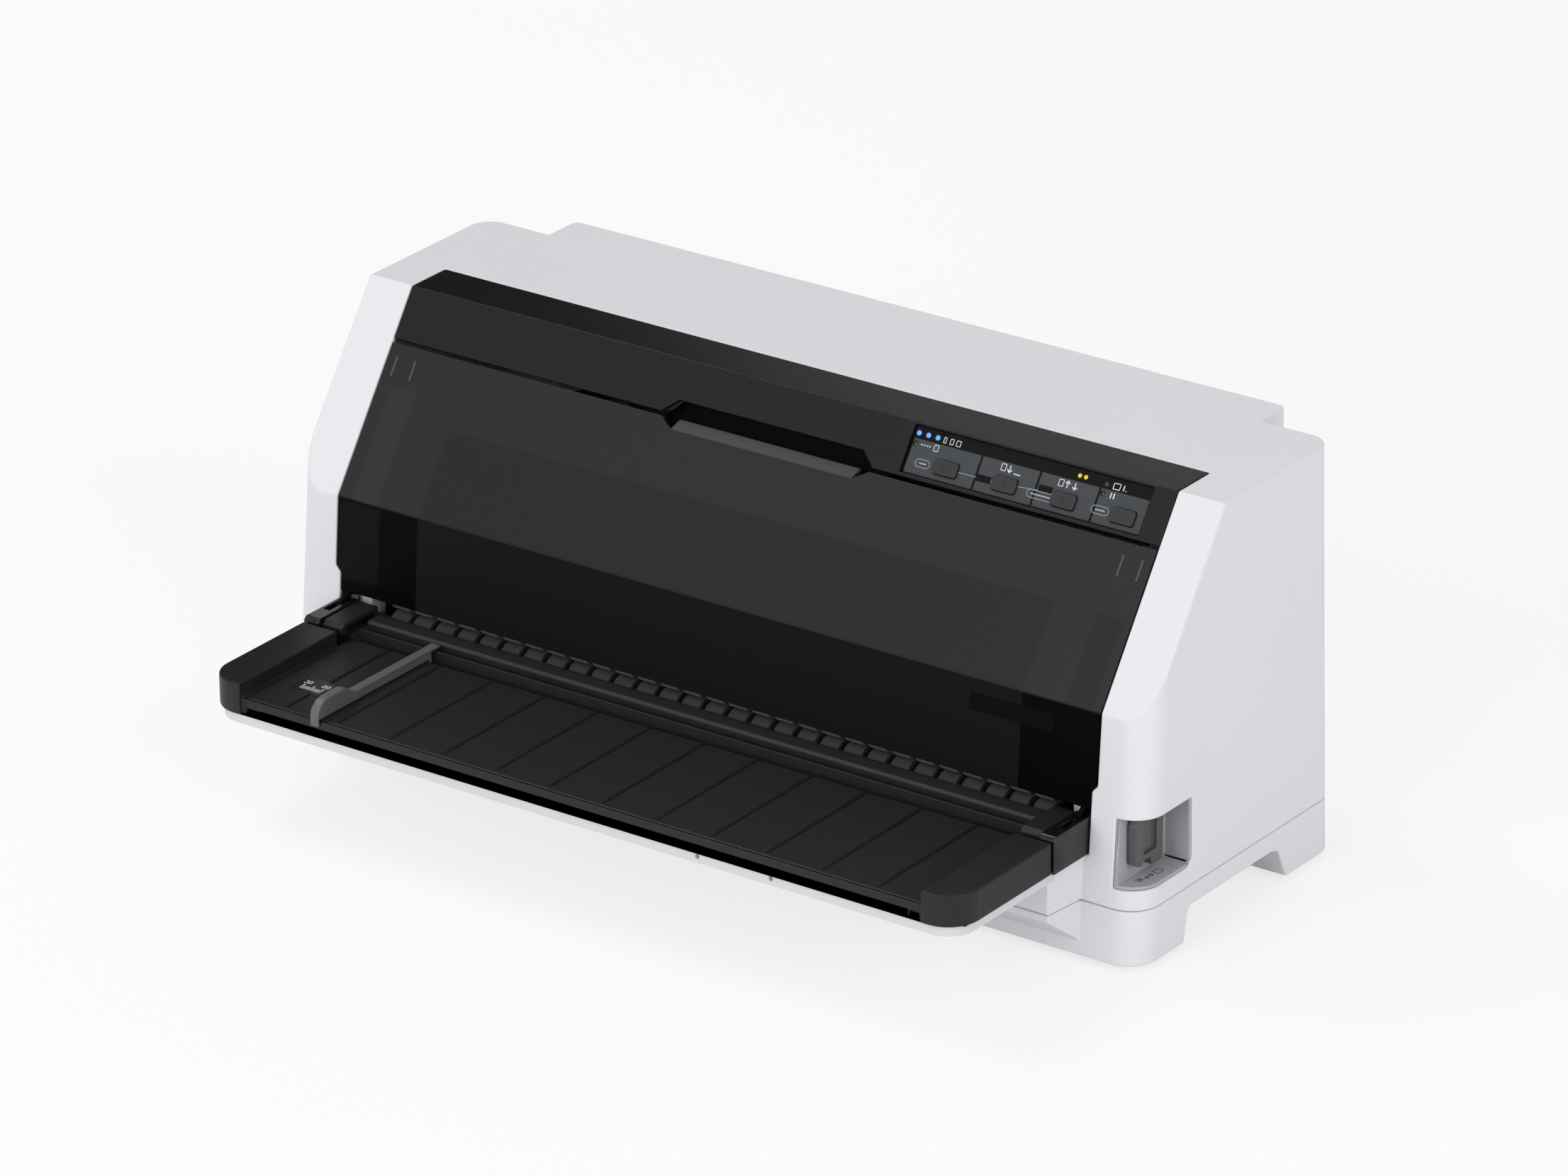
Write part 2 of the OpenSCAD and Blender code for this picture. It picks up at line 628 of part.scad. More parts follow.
module table_tray() color(shell_white) at_fold() {
  difference() {
    translate([0, 0, table_z0 - tray_t]) linear_extrude(tray_t) table_plan(2, apron_y - apron_notch + 0.6);
    difference() {
      translate([0, 0, table_z0 - tray_t + 2]) linear_extrude(tray_t) table_plan(4.5, table_rear_y + 3);
      // Strips that carry the front wall of the tray
      box(-big, big, -table_y, -table_y + 9, 0, big);
    }
    for (x = [68, 108]) rod_y(1.1, -table_y, -table_y + 8, x, table_z0 - 2);
    box(-deck_half, deck_half, -40, 0, shelf_z, big);
    box(-big, big, -table_rear_y, 0, shelf_z, big);
  }
}

module scale_plate() color([0.03, 0.03, 0.03]) at_fold()
  box(scale_x, scale_x + scale_w, scale_y, scale_y + scale_l, deck_z - scale_t, deck_z);

// --- sliding edge guide ---
guide_x = -deck_half + 40.9;
guide_t = 4.8;
guide_low = 62;
guide_high = 66.3;
guide_lift = 0.25;
guide_rear = 13.5;
module edge_guide() color(mid_grey) at_fold() difference() {
  along_x(guide_t, guide_x + guide_t / 2) polygon([
    [-table_y + 0.3, deck_z - 3], [-table_y + nose_in - 0.4, deck_z - 3],
    [-table_y + nose_in - 0.4, deck_z + guide_lift],
    [-deck_rear_y + 0.4, deck_z + guide_lift], [-deck_rear_y + 0.4, deck_z - 3],
    [-deck_rear_y + 2.2, deck_z - 3], [-deck_rear_y + 2.2, rib_top + 0.4],
    [-guide_rear, rib_top + 0.4], [-guide_rear, guide_low - 1], [-guide_rear - 1, guide_low],
    [-76, guide_low], [-79, guide_low + 1], [-82.5, guide_high - 0.6], [-85, guide_high],
    [-96, guide_high], [-99.6, guide_high - 1], [-102.4, guide_high - 3.2],
    [-table_y + 0.8, deck_z + 4.4], [-table_y + 0.3, deck_z + 1]]);
}

// --- guides under the sheet ---
head_y = 34;
plate_z = 62;
rib_top = 60;
guide_y0 = deck_rear_y;
module front_guide() color(satin_black) at_fold() {
  difference() {
    union() {
      along_x(2 * cap_x0 - 3) polygon([[-guide_y0, shelf_z], [-1.5, shelf_z], [-1.5, plate_z - 1],
        [-2.5, plate_z], [-11, plate_z], [-12.2, plate_z - 1], [-12.2, 54], [-15.6, 54],
        [-15.6, rib_top - 0.6], [-17.6, rib_top], [-17.6, 52.6], [-guide_y0, 52.6]]);
      both() box(cap_x0 - 2, block_x0 - 0.2, -guide_y0, -1.5, shelf_z, guide_end_z);
    }
    // Hollow underside
    box(-cap_x0 + 6, cap_x0 - 6, -10, -3.5, shelf_z - 1, plate_z - 3);
  }
}

frame_x = low_half - 7.6;
frame_y0 = 2;
frame_y1 = 128;
frame_top = 122;
rear_guide_y = head_y + platen_r + 2;
rear_guide_z = 60.5;
module rear_guide() color(satin_black) at_fold() {
  box(-frame_x, frame_x, rear_guide_y, frame_y1, rear_guide_z - 4, rear_guide_z - 2);
  box(-slot_half + 1, slot_half - 1, frame_y1, bay_y - 2, rear_guide_z - 4, rear_guide_z - 2);
  for (x = [-slot_half + 10 : 20 : slot_half]) along_x(1.2, x) polygon([[rear_guide_y, rear_guide_z - 2],
    [bay_y - 2, rear_guide_z - 2], [bay_y - 6, rear_guide_z], [rear_guide_y + 2, rear_guide_z]]);
}

// --- rollers ---
feed_y = 8;
feed_z = plate_z - 0.4 - feed_r;
follower_z = plate_z + 0.4 + follower_r;
roller_pitch = 12.9;
roller_l = 9.8;
feed_shaft_r = 3;
follower_shaft_r = 2;
roller_n = floor((frame_x - 20) / roller_pitch);
module at_rollers() for (i = [-roller_n : roller_n]) translate([i * roller_pitch, 0, 0]) children();
module feed_roller() color(rubber_black) at_fold() {
  rod_x(feed_shaft_r, -frame_x - 15, frame_x + frame_t + 2, feed_y, feed_z);
  at_rollers() rod_x(feed_r, -roller_l / 2, roller_l / 2, feed_y, feed_z);
}
module follower_rollers() color(mid_grey) at_fold() {
  rod_x(follower_shaft_r, -frame_x + 1, frame_x - 1, feed_y, follower_z);
  at_rollers() rod_x(follower_r, -roller_l / 2, roller_l / 2, feed_y, follower_z);
}
module roller_bearings() color(nylon) at_fold() both() difference() {
  box(frame_x - 6, frame_x, feed_y - 5, feed_y + 5, feed_z - 7, follower_z + 4);
  rod_x(feed_shaft_r + run, 0, big, feed_y, feed_z);
  rod_x(follower_shaft_r + run, 0, big, feed_y, follower_z);
}

// --- platen ---
platen_y = head_y;
platen_z = 61 - platen_r;
platen_shaft_r = 4;
platen_half = frame_x - 13;
module platen() color(rubber_black) at_fold() {
  rod_x(platen_shaft_r, -frame_x - 15, frame_x + frame_t + 4, platen_y, platen_z);
  rod_x(platen_r, -platen_half, platen_half, platen_y, platen_z);
}
bush_r = 7;
module platen_bushes() color([0.72, 0.55, 0.3]) at_fold() both() difference() {
  union() {
    rod_x(bush_r - 1.6, frame_x - 3, frame_x + frame_t + 1, platen_y, platen_z);
    rod_x(bush_r, frame_x - 3, frame_x, platen_y, platen_z);
  }
  rod_x(platen_shaft_r + run, 0, big, platen_y, platen_z);
}

// --- gear train on the left ---
feed_teeth = 16;
idler_teeth = 14;
reduction_teeth = 32;
pinion_teeth = 12;
gear_w = 6;
gear_x = -frame_x - frame_t - 5;
axle_r = 2;
function pitch_r(n) = gear_m * n / 2;
mesh_gap = 0.15;
function dist(a, b) = pitch_r(a) + pitch_r(b) + mesh_gap;
platen_c = [platen_y, platen_z];
feed_c = [feed_y, feed_z];
// The idler sits below the line between platen and feed roller, in mesh with both
line_l = norm(feed_c - platen_c);
line_a = atan2(feed_c[1] - platen_c[1], feed_c[0] - platen_c[0]);
idler_d1 = dist(platen_teeth, idler_teeth);
idler_d2 = dist(idler_teeth, feed_teeth);
idler_a = line_a + acos((idler_d1 * idler_d1 + line_l * line_l - idler_d2 * idler_d2)
                        / (2 * idler_d1 * line_l));
idler_c = platen_c + idler_d1 * [cos(idler_a), sin(idler_a)];
reduction_a = -22;
reduction_c = platen_c + dist(platen_teeth, reduction_teeth) * [cos(reduction_a), sin(reduction_a)];
motor_a = -12;
motor_c = reduction_c + dist(reduction_teeth, pinion_teeth) * [cos(motor_a), sin(motor_a)];
function dir(a, b) = atan2(b[1] - a[1], b[0] - a[0]);
// Angle of the driven gear at which its gaps meet the teeth of the driver
function mesh(a, n1, n2, t1) = a + 180 + 180 / n2 + (a - t1) * n1 / n2;
platen_t = 0;
idler_t = mesh(dir(platen_c, idler_c), platen_teeth, idler_teeth, platen_t);
feed_t = mesh(dir(idler_c, feed_c), idler_teeth, feed_teeth, idler_t);
reduction_t = mesh(dir(platen_c, reduction_c), platen_teeth, reduction_teeth, platen_t);
pinion_t = mesh(dir(reduction_c, motor_c), reduction_teeth, pinion_teeth, reduction_t);
function involute(rb, r) = let (c = sqrt(max(0, r * r / (rb * rb) - 1))) c * 180 / PI - atan(c);
function flank(n, r) = let (rp = pitch_r(n), rb = rp * cos(20))
  90 / n - 0.16 * 180 / PI / rp - involute(rb, max(r, rb)) + involute(rb, rp);
module gear(n, bore) difference() {
  linear_extrude(gear_w, center = true) polygon([for (i = [0 : n - 1])
    let (rp = pitch_r(n), r0 = rp - 1.2 * gear_m, r2 = rp + 0.9 * gear_m,
         rs = [r0, rp * 0.97, rp, r2 - 0.4 * gear_m, r2])
    each concat([for (k = [0 : 4]) let (a = i * 360 / n - flank(n, rs[k])) rs[k] * [cos(a), sin(a)]],
                [for (k = [4 : -1 : 0]) let (a = i * 360 / n + flank(n, rs[k])) rs[k] * [cos(a), sin(a)]])]);
  cylinder(r = bore, h = 3 * gear_w, center = true);
}
// Gears are drawn in the y-z plane, seen from the right
module at_gear(c, t) translate([gear_x, c[0], c[1]]) rotate([90, 0, 90]) rotate([0, 0, t]) children();
module platen_gear() color(nylon) at_fold() at_gear(platen_c, platen_t) gear(platen_teeth, platen_shaft_r);
module feed_gear() color(nylon) at_fold() at_gear(feed_c, feed_t) gear(feed_teeth, feed_shaft_r);
module idler_gear() color(nylon) at_fold() at_gear(idler_c, idler_t) gear(idler_teeth, axle_r + run);
module reduction_gear() color(nylon) at_fold() at_gear(reduction_c, reduction_t)
  gear(reduction_teeth, axle_r + run);
module gear_axles() color(steel) at_fold() for (c = [idler_c, reduction_c]) {
  rod_x(axle_r, gear_x - gear_w / 2 - 1.6, -frame_x - frame_t, c[0], c[1]);
  rod_x(axle_r + 1.6, gear_x + gear_w / 2 + 0.3, -frame_x - frame_t, c[0], c[1]);
  rod_x(axle_r + 1.2, gear_x - gear_w / 2 - 1.6, gear_x - gear_w / 2 - 0.3, c[0], c[1]);
}
feed_motor_r = 19;
motor_shaft_r = 2;
module feed_motor() color(steel) at_fold() difference() {
  union() {
    rod_x(feed_motor_r, -frame_x, -frame_x + 24, motor_c[0], motor_c[1]);
    rod_x(6, -frame_x - frame_t, -frame_x, motor_c[0], motor_c[1]);
  }
  rod_x(motor_shaft_r + run, -frame_x - frame_t - 1, -frame_x + 18, motor_c[0], motor_c[1]);
}
module motor_pinion() color(steel) at_fold() {
  at_gear(motor_c, pinion_t) gear(pinion_teeth, motor_shaft_r);
  rod_x(motor_shaft_r, gear_x - gear_w / 2, -frame_x + 16, motor_c[0], motor_c[1]);
}

// --- steel frame ---
base_t = 1.2;
module base_frame() color(steel) at_fold() {
  box(-frame_x, frame_x, frame_y0, frame_y1, wall, wall + base_t);
  for (y = [frame_y0, frame_y1 - base_t]) box(-frame_x, frame_x, y, y + base_t, wall + base_t, wall + 6);
}
rod_y0 = 74;
rod_z = 96;
function frame_side() = [[frame_y0, wall], [frame_y1, wall], [frame_y1, frame_top], [38, frame_top],
  [14, 104], [frame_y0, 74]];
module side_frame() difference() {
  along_x(frame_t, frame_x + frame_t / 2) polygon(frame_side());
  rod_x(bush_r - 1.6 + 0.05, 0, big, platen_y, platen_z);
  rod_x(feed_shaft_r + 1, 0, big, feed_y, feed_z);
  rod_x(rod_r + 0.03, 0, big, rod_y0, rod_z);
}
module left_side_frame() color(steel) at_fold() difference() {
  mirror([1, 0, 0]) side_frame();
  rod_x(6.05, -big, 0, motor_c[0], motor_c[1]);
}
module right_side_frame() color(steel) at_fold() difference() {
  side_frame();
  rod_x(3, 0, big, motor_c[0], motor_c[1]);
}

// --- carriage ---
module carriage_rod() color(steel) at_fold() rod_x(rod_r, -frame_x - 4, frame_x + 4, rod_y0, rod_z);
rail_y0 = 90;
rail_y1 = 109.5;
sheet_t = 1.5;
rail_low = 76;
pulley_x = frame_x - 20;
belt_z = rod_z;
belt_y = 100;
pulley_r = 8;
belt_w = 6;
belt_t = 1.2;
belt_gap = 0.3;
cr_motor_r = 18;
pin_r = 2.5;
module carriage_rail() color(steel) at_fold() difference() {
  union() {
    box(-frame_x, frame_x, rail_y0, rail_y1, rail_low, rail_low + sheet_t);
    box(-frame_x, frame_x, rail_y1 - sheet_t, rail_y1, rail_low, rail_low + 40);
    rod_y(pin_r, belt_y - belt_w / 2 - 2, rail_y1, -pulley_x, belt_z);
    rod_y(pin_r + 2, belt_y + belt_w / 2 + 0.8, rail_y1, -pulley_x, belt_z);
  }
  rod_y(pin_r + 1.5, rail_y0, rail_y1 + 1, pulley_x, belt_z);
}
hub_r = 12;
hub_bore = 8.5;
plate_low = 72;
plate_top = 78;
neck_r = 14;
module carriage() color(satin_black) at_fold() difference() {
  union() {
    rod_x(hub_r, -carriage_half, carriage_half, rod_y0, rod_z);
    box(-carriage_half, carriage_half, 14, rod_y0 + 4, plate_low, plate_top);
    for (x = [-carriage_half, carriage_half - 4]) along_x(4, x + 2) polygon([[16, plate_top - 1],
      [rod_y0 + 11, plate_top - 1], [rod_y0 + 11, rod_z], [rod_y0 - 8, rod_z + 8], [52, plate_top + 6]]);
    // Tongue that rides on the rail, and the clamp on the belt
    box(-14, 14, rod_y0, rail_y0 + 6, rail_low - 4.5, rod_z - 8);
    box(-6, 6, rail_y0 - 4, belt_y + belt_w / 2, belt_z - pulley_r - belt_gap - belt_t - 2.2,
        belt_z - pulley_r + 2.6);
  }
  rod_x(hub_bore, -big, big, rod_y0, rod_z);
  translate([0, head_y, 0]) cylinder(r = neck_r + 0.1, h = big);
  box(-big, big, rail_y0 - 0.3, big, rail_low - 0.3, rail_low + sheet_t + 0.3);
  box(-big, big, belt_y - belt_w / 2 - 0.3, big, belt_z - pulley_r - belt_gap - belt_t - 0.3,
      belt_z - pulley_r - belt_gap + 0.3);
}
module carriage_bushes() color([0.72, 0.55, 0.3]) at_fold() both() difference() {
  rod_x(hub_bore, carriage_half - 14, carriage_half, rod_y0, rod_z);
  rod_x(rod_r + run, 0, big, rod_y0, rod_z);
}
nose_z = 62.7;
fin_r = 21;
fin_n = 11;
fin_pitch = 3;
module print_head() color(steel) at_fold() translate([0, head_y, 0]) {
  translate([0, 0, nose_z + 5]) cylinder(r = neck_r, h = plate_top - nose_z - 5);
  translate([-5, -3, nose_z]) cube([10, 6, 6]);
  translate([0, 0, plate_top]) cylinder(r = fin_r, h = 3);
  translate([0, 0, plate_top]) cylinder(r = 15, h = fin_n * fin_pitch + 6);
  for (i = [1 : fin_n]) translate([0, 0, plate_top + i * fin_pitch]) cylinder(r = fin_r, h = 1.2);
}
module ribbon_guide() color(satin_black) at_fold() difference() {
  union() {
    box(-24, 24, head_y - 6, head_y + 6, 63.6, 65);
    both() box(20, 24, head_y - 6, head_y + 6, 63.6, plate_low);
  }
  box(-5.4, 5.4, head_y - 3.4, head_y + 3.4, 0, big);
}

// --- ribbon ---
cart_half = frame_x - 43;
cart_z = frame_top;
cart_h = 20;
cart_y0 = 58;
cart_y1 = 118;
knob_x = -cart_half + 40;
knob_y = 88;
module ribbon_cartridge() color(satin_black) at_fold() difference() {
  union() {
    translate([0, (cart_y0 + cart_y1) / 2, cart_z]) linear_extrude(cart_h)
      rounded(2 * cart_half, cart_y1 - cart_y0, 9);
    box(-frame_x - frame_t, frame_x + frame_t, 72, 104, cart_z, cart_z + 3);
    translate([0, (cart_y0 + cart_y1) / 2, cart_z + cart_h]) linear_extrude(1)
      rounded(2 * cart_half - 60, cart_y1 - cart_y0 - 16, 5);
  }
  translate([knob_x, knob_y, cart_z + 4]) cylinder(r = 3 + run, h = cart_h);
  translate([knob_x, knob_y, cart_z + cart_h]) cylinder(r = 11, h = 5);
}
module ribbon_knob() color(mid_grey) at_fold() translate([knob_x, knob_y, cart_z + 5]) difference() {
  union() {
    cylinder(r = 3, h = cart_h);
    translate([0, 0, cart_h - 5 + 0.3]) cylinder(r = 9, h = 9);
  }
  for (a = [0 : 30 : 330]) rotate(a) translate([9.6, 0, cart_h - 5]) cylinder(r = 1.2, h = 12);
}

// --- carriage drive ---
module carriage_motor() color(steel) at_fold() difference() {
  rod_y(cr_motor_r, rail_y1, rail_y1 + 22, pulley_x, belt_z);
  rod_y(pin_r + run, rail_y1 - 1, rail_y1 + 14, pulley_x, belt_z);
}
module pulley() for (y = [-1, 1]) rod_y(pulley_r + 1.8, y * (belt_w / 2 + 0.8) - 0.4,
  y * (belt_w / 2 + 0.8) + 0.4, 0, 0);
module drive_pulley() color(steel) at_fold() translate([pulley_x, belt_y, belt_z]) {
  rod_y(pulley_r, -belt_w / 2 - 1.2, belt_w / 2 + 1.2, 0, 0);
  pulley();
  rod_y(pin_r, -belt_w / 2, rail_y1 + 12 - belt_y, 0, 0);
}
module idler_pulley() color(nylon) at_fold() translate([-pulley_x, belt_y, belt_z]) difference() {
  union() {
    rod_y(pulley_r, -belt_w / 2 - 1.2, belt_w / 2 + 0.4, 0, 0);
    translate([0, 0, 0]) rod_y(pulley_r + 1.8, -belt_w / 2 - 1.2, -belt_w / 2 - 0.4, 0, 0);
  }
  rod_y(pin_r + run, -big, big, 0, 0);
}
module timing_belt() color(rubber_black) at_fold() translate([0, belt_y + belt_w / 2, belt_z])
  rotate([90, 0, 0]) linear_extrude(belt_w) difference() {
    belt_loop(pulley_r + belt_gap + belt_t);
    belt_loop(pulley_r + belt_gap);
  }
module belt_loop(r) {
  square([2 * pulley_x, 2 * r], center = true);
  for (sx = [-1, 1]) translate([sx * pulley_x, 0]) circle(r);
}

// --- electronics ---
standoff = 6;
board_z = wall + base_t + standoff;
module pcb(x0, x1, y0, y1) {
  box(x0, x1, y0, y1, board_z, board_z + board_t);
  for (x = [x0 + 5, x1 - 5], y = [y0 + 5, y1 - 5]) translate([x, y, wall + base_t]) cylinder(r = 2.5, h = standoff);
}
main_x = port_x0;
main_w = 0.442 * case_w;
power_w = 0.283 * case_w;
power_x = frame_x - 11 - power_w;
board_y0 = 52;
board_y1 = 124;
board_top = board_z + board_t;
module main_board() color(board_green) at_fold() {
  pcb(main_x, main_x + main_w, board_y0, board_y1);
  translate([main_x, board_y0, board_top]) {
    translate([52, 18, 0]) cube([28, 28, 3]);
    translate([102, 14, 0]) cube([18, 12, 3]);
    translate([main_w - 70, 56, 0]) cube([50, 8, 18]);
    for (x = [50, 36, 22]) translate([main_w - x, 32, 0]) cylinder(r = 5, h = 16);
  }
}
module power_board() color([0.5, 0.42, 0.25]) at_fold() {
  pcb(power_x, power_x + power_w, board_y0, board_y1);
  translate([power_x, board_y0, board_top]) {
    translate([44, 22, 0]) cube([36, 30, 30]);
    translate([10, 8, 0]) cube([26, 6, 26]);
    for (x = [40, 18]) translate([power_w - x, 16, 0]) cylinder(r = 9, h = 30);
  }
}
// A socket: its shell from x0 to x1, open to the rear
module socket(x0, x1, z0, z1, rim) difference() {
  box(x0, x1, frame_y1, frame_y1 + 12, z0, z1);
  box(x0 + rim, x1 - rim, frame_y1 + 3, frame_y1 + 13, z0 + 2.5, z1 - 2.5);
}
module interface_plate() color(steel) at_fold() {
  box(port_x0 - 4, port_x1 + 4, frame_y1, frame_y1 + 1.2, wall, port_z1 + 2);
  box(port_x0 - 4, port_x1 + 4, frame_y1, back_y(wall) - 6, wall, wall + 1.2);
  socket(port_x0 + 14, port_x0 + 80, port_z0 + 5, port_z0 + 17, 4);
  socket(port_x0 + 90, port_x0 + 102, port_z0 + 5, port_z0 + 16, 2);
}
inlet_y1 = back_y(inlet_z) + 0.8;
module power_inlet() color(band_black) at_fold() {
  difference() {
    union() {
      box(inlet_x - inlet_w / 2 + 0.2, inlet_x + inlet_w / 2 - 0.2, inlet_y1 - 16, inlet_y1,
          inlet_z - inlet_h / 2 + 0.2, inlet_z + inlet_h / 2 - 0.2);
      box(inlet_x - inlet_w / 2 - 3, inlet_x + inlet_w / 2 + 3, inlet_y1 - 7, inlet_y1 - 4.6,
          inlet_z - inlet_h / 2 - 3, inlet_z + inlet_h / 2 + 3);
    }
    box(inlet_x - 11, inlet_x + 11, inlet_y1 - 14, inlet_y1 + 1, inlet_z - 7, inlet_z + 7);
  }
  for (dx = [-7, 0, 7]) box(inlet_x + dx - 1, inlet_x + dx + 1, inlet_y1 - 15, inlet_y1 - 3,
    inlet_z - 3, inlet_z + 3);
}
module power_switch() color(band_black) at_fold()
  translate([-side_x(switch_z) + switch_pivot, switch_y, switch_z]) rotate(switch_tilt) {
    linear_extrude(switch_h - 0.8, center = true) polygon([
      [-switch_pivot - 0.2, switch_l / 2 - 1.3], [-switch_pivot + 1.4, 0],
      [-switch_pivot - 0.2, -switch_l / 2 + 1.3], [0, -switch_l / 2 + 1.9], [2.8, -3], [2.8, 3],
      [0, switch_l / 2 - 1.9]]);
    cylinder(r = switch_pin_r, h = switch_h + 3, center = true);
  }
module case_screws() color(steel) at_fold() at_screws() {
  cylinder(r = screw_r, h = screw_top - 3);
  translate([0, 0, 7]) cylinder(r = screw_head_r, h = 3);
}

// --- paper lever ---
bezel_t = 1.6;
bezel_top = lever_win_z + lever_win_h;
module lever_bezel() color([0.8, 0.8, 0.82]) at_fold() intersection() {
  case_block(0.5);
  difference() {
    lever_window(0.25);
    difference() {
      translate([0, 0, 0]) box(lever_win_x + 0.25 + bezel_t, case_half + 10, -30,
        lever_win_y - 0.25 - bezel_t, lever_win_z + 0.25 + bezel_t, big);
    }
  }
}
lever_x = lever_win_x + 2.6;
lever_t = 5;
lever_y0 = 1.5;
lever_y1 = 22.5;
lever_low = 43.5;
lever_y = 13;
lever_hub_r = 7;
lever_z = 110;
lever_pin_r = 4;
module paper_lever() color([0.33, 0.33, 0.34]) at_fold() difference() {
  union() {
    along_x(lever_t, lever_x + lever_t / 2) polygon([[lever_y0, lever_low + 1.5], [lever_y0 + 4, lever_low],
      [lever_y0 + 5, lever_low + 2], [lever_y1 - 10, lever_low + 2], [lever_y1 - 9, lever_low - 2],
      [lever_y1 - 1, lever_low - 2], [lever_y1, lever_low + 2], [lever_y1, bezel_top + 2],
      [lever_y + 6, lever_z], [lever_y - 5, lever_z], [lever_y0 + 3.5, bezel_top + 1],
      [lever_y0, bezel_top - 5]]);
    rod_x(lever_hub_r, lever_x, lever_x + lever_t, lever_y, lever_z);
  }
  rod_x(lever_pin_r + run, 0, big, lever_y, lever_z);
  // Finger hollow between the two ribs
  box(lever_x + lever_t - 2, big, lever_y0 + 5.5, lever_y1 - 5, lever_low + 5, bezel_top - 4);
}
module lever_pin() color(steel) at_fold() {
  rod_x(lever_pin_r, frame_x + frame_t, lever_x + lever_t + 1.5, lever_y, lever_z);
  rod_x(lever_pin_r + 3, frame_x + frame_t, frame_x + frame_t + 2, lever_y, lever_z);
  rod_x(lever_pin_r + 2, lever_x - 4, lever_x - 0.3, lever_y, lever_z);
}

lower_case();
rubber_feet();
upper_case();
front_band();
panel_plate();
panel_film();
status_lamps();
panel_board();
font_key();
feed_key();
load_key();
pause_key();
printer_cover();
tear_edge();
left_hinge_block();
right_hinge_block();
left_guide_cap();
right_guide_cap();
sheet_table();
table_tray();
scale_plate();
edge_guide();
lever_bezel();
paper_lever();
lever_pin();
base_frame();
left_side_frame();
right_side_frame();
front_guide();
rear_guide();
feed_roller();
follower_rollers();
roller_bearings();
platen();
platen_bushes();
platen_gear();
feed_gear();
idler_gear();
reduction_gear();
gear_axles();
feed_motor();
motor_pinion();
carriage_rod();
carriage_rail();
carriage();
carriage_bushes();
print_head();
ribbon_guide();
ribbon_cartridge();
ribbon_knob();
carriage_motor();
drive_pulley();
idler_pulley();
timing_belt();
main_board();
power_board();
interface_plate();
power_inlet();
power_switch();
case_screws();
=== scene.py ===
"""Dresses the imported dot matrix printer: rounded mouldings, finishes, printed marks, studio and camera.

Lengths in the classes are millimetres in the fold frame: x = 0 on the centre plane, y = 0 at the fold
of the front, z = 0 at the bottom edge of the case. fold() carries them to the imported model's frame.
"""
import json
import logging
import math
from abc import ABC, abstractmethod
from dataclasses import dataclass, field
from enum import Enum
from typing import Callable, Iterable, Optional, Sequence

import bmesh
import bpy
from mathutils import Matrix, Vector

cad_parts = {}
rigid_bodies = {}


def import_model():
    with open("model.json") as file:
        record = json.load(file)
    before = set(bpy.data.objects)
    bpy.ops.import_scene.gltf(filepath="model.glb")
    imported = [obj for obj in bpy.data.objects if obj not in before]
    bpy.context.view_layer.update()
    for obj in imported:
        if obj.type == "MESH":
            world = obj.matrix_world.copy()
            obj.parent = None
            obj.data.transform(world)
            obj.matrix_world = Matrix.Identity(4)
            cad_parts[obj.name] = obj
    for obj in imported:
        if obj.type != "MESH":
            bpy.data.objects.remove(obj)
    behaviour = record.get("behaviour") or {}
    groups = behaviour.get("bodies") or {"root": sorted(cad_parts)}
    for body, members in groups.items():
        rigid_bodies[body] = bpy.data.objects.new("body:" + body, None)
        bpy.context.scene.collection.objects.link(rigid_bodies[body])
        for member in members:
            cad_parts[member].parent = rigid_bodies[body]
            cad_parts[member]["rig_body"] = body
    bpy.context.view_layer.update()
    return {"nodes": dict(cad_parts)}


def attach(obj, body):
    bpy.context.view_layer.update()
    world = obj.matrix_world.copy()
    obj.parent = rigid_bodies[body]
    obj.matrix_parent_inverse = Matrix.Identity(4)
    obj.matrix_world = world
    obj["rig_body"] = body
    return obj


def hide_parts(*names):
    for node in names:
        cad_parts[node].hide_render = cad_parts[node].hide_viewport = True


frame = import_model()

log = logging.getLogger("printer")

MM = 0.001
# From the fold frame to the model's frame, which is centred front to back and stands on its feet
FOLD_SHIFT = Vector((0.0, -31.75, 2.5))
KNEE_Z = 115.0
SLOPE_RUN = 59.7
CASE_H = 200.0
SLOPE_ANGLE = math.atan2(CASE_H - KNEE_Z, SLOPE_RUN)
FRONT_LEAN = math.radians(4.9)

# Corners nearer than this, in metres, are one; faces that turn less than FLAT_TURN are one
MERGE_GAP = 2e-6
FLAT_TURN = math.radians(0.4)
# Edges that turn more than this are rounded, with this many faces
ROUND_TURN = math.radians(28)
ROUND_FACES = 2
# Edges that turn more than this stay sharp on a piece that isn't rounded, and on a lens
SHARP_TURN = math.radians(32)
LENS_TURN = math.radians(40)
# How strongly a wide face holds its own shading, and how far a flat face's corners may lean
WIDE_FACE_WEIGHT = 90
FLAT_LEAN = math.radians(0.2)
# Refraction of the mouldings, scale of the clouds in their colour, and depth of their grain in metres
PLASTIC_IOR = 1.5
CLOUD_SCALE = 14.0
GRAIN_DEPTH = 0.0003

Point = Sequence[float]


def fold(x: float, y: float, z: float) -> Vector:
    """Carries a point of the fold frame, in millimetres, to the model's frame, in metres.

    Args:
        x: distance to the right of the centre plane.
        y: distance behind the fold of the front.
        z: height above the bottom edge of the case.

    Returns:
        The point in metres.
    """
    return (Vector((x, y, z)) + FOLD_SHIFT) * MM


def on_slope(x: float, s: float, out: float = 0.0) -> Vector:
    """A point on the sloping front.

    Args:
        x: distance to the right of the centre plane.
        s: distance up the slope from the fold.
        out: distance out of its surface.

    Returns:
        The point in metres.
    """
    c, n = math.cos(SLOPE_ANGLE), math.sin(SLOPE_ANGLE)
    return fold(x, s * c - out * n, KNEE_Z + s * n + out * c)


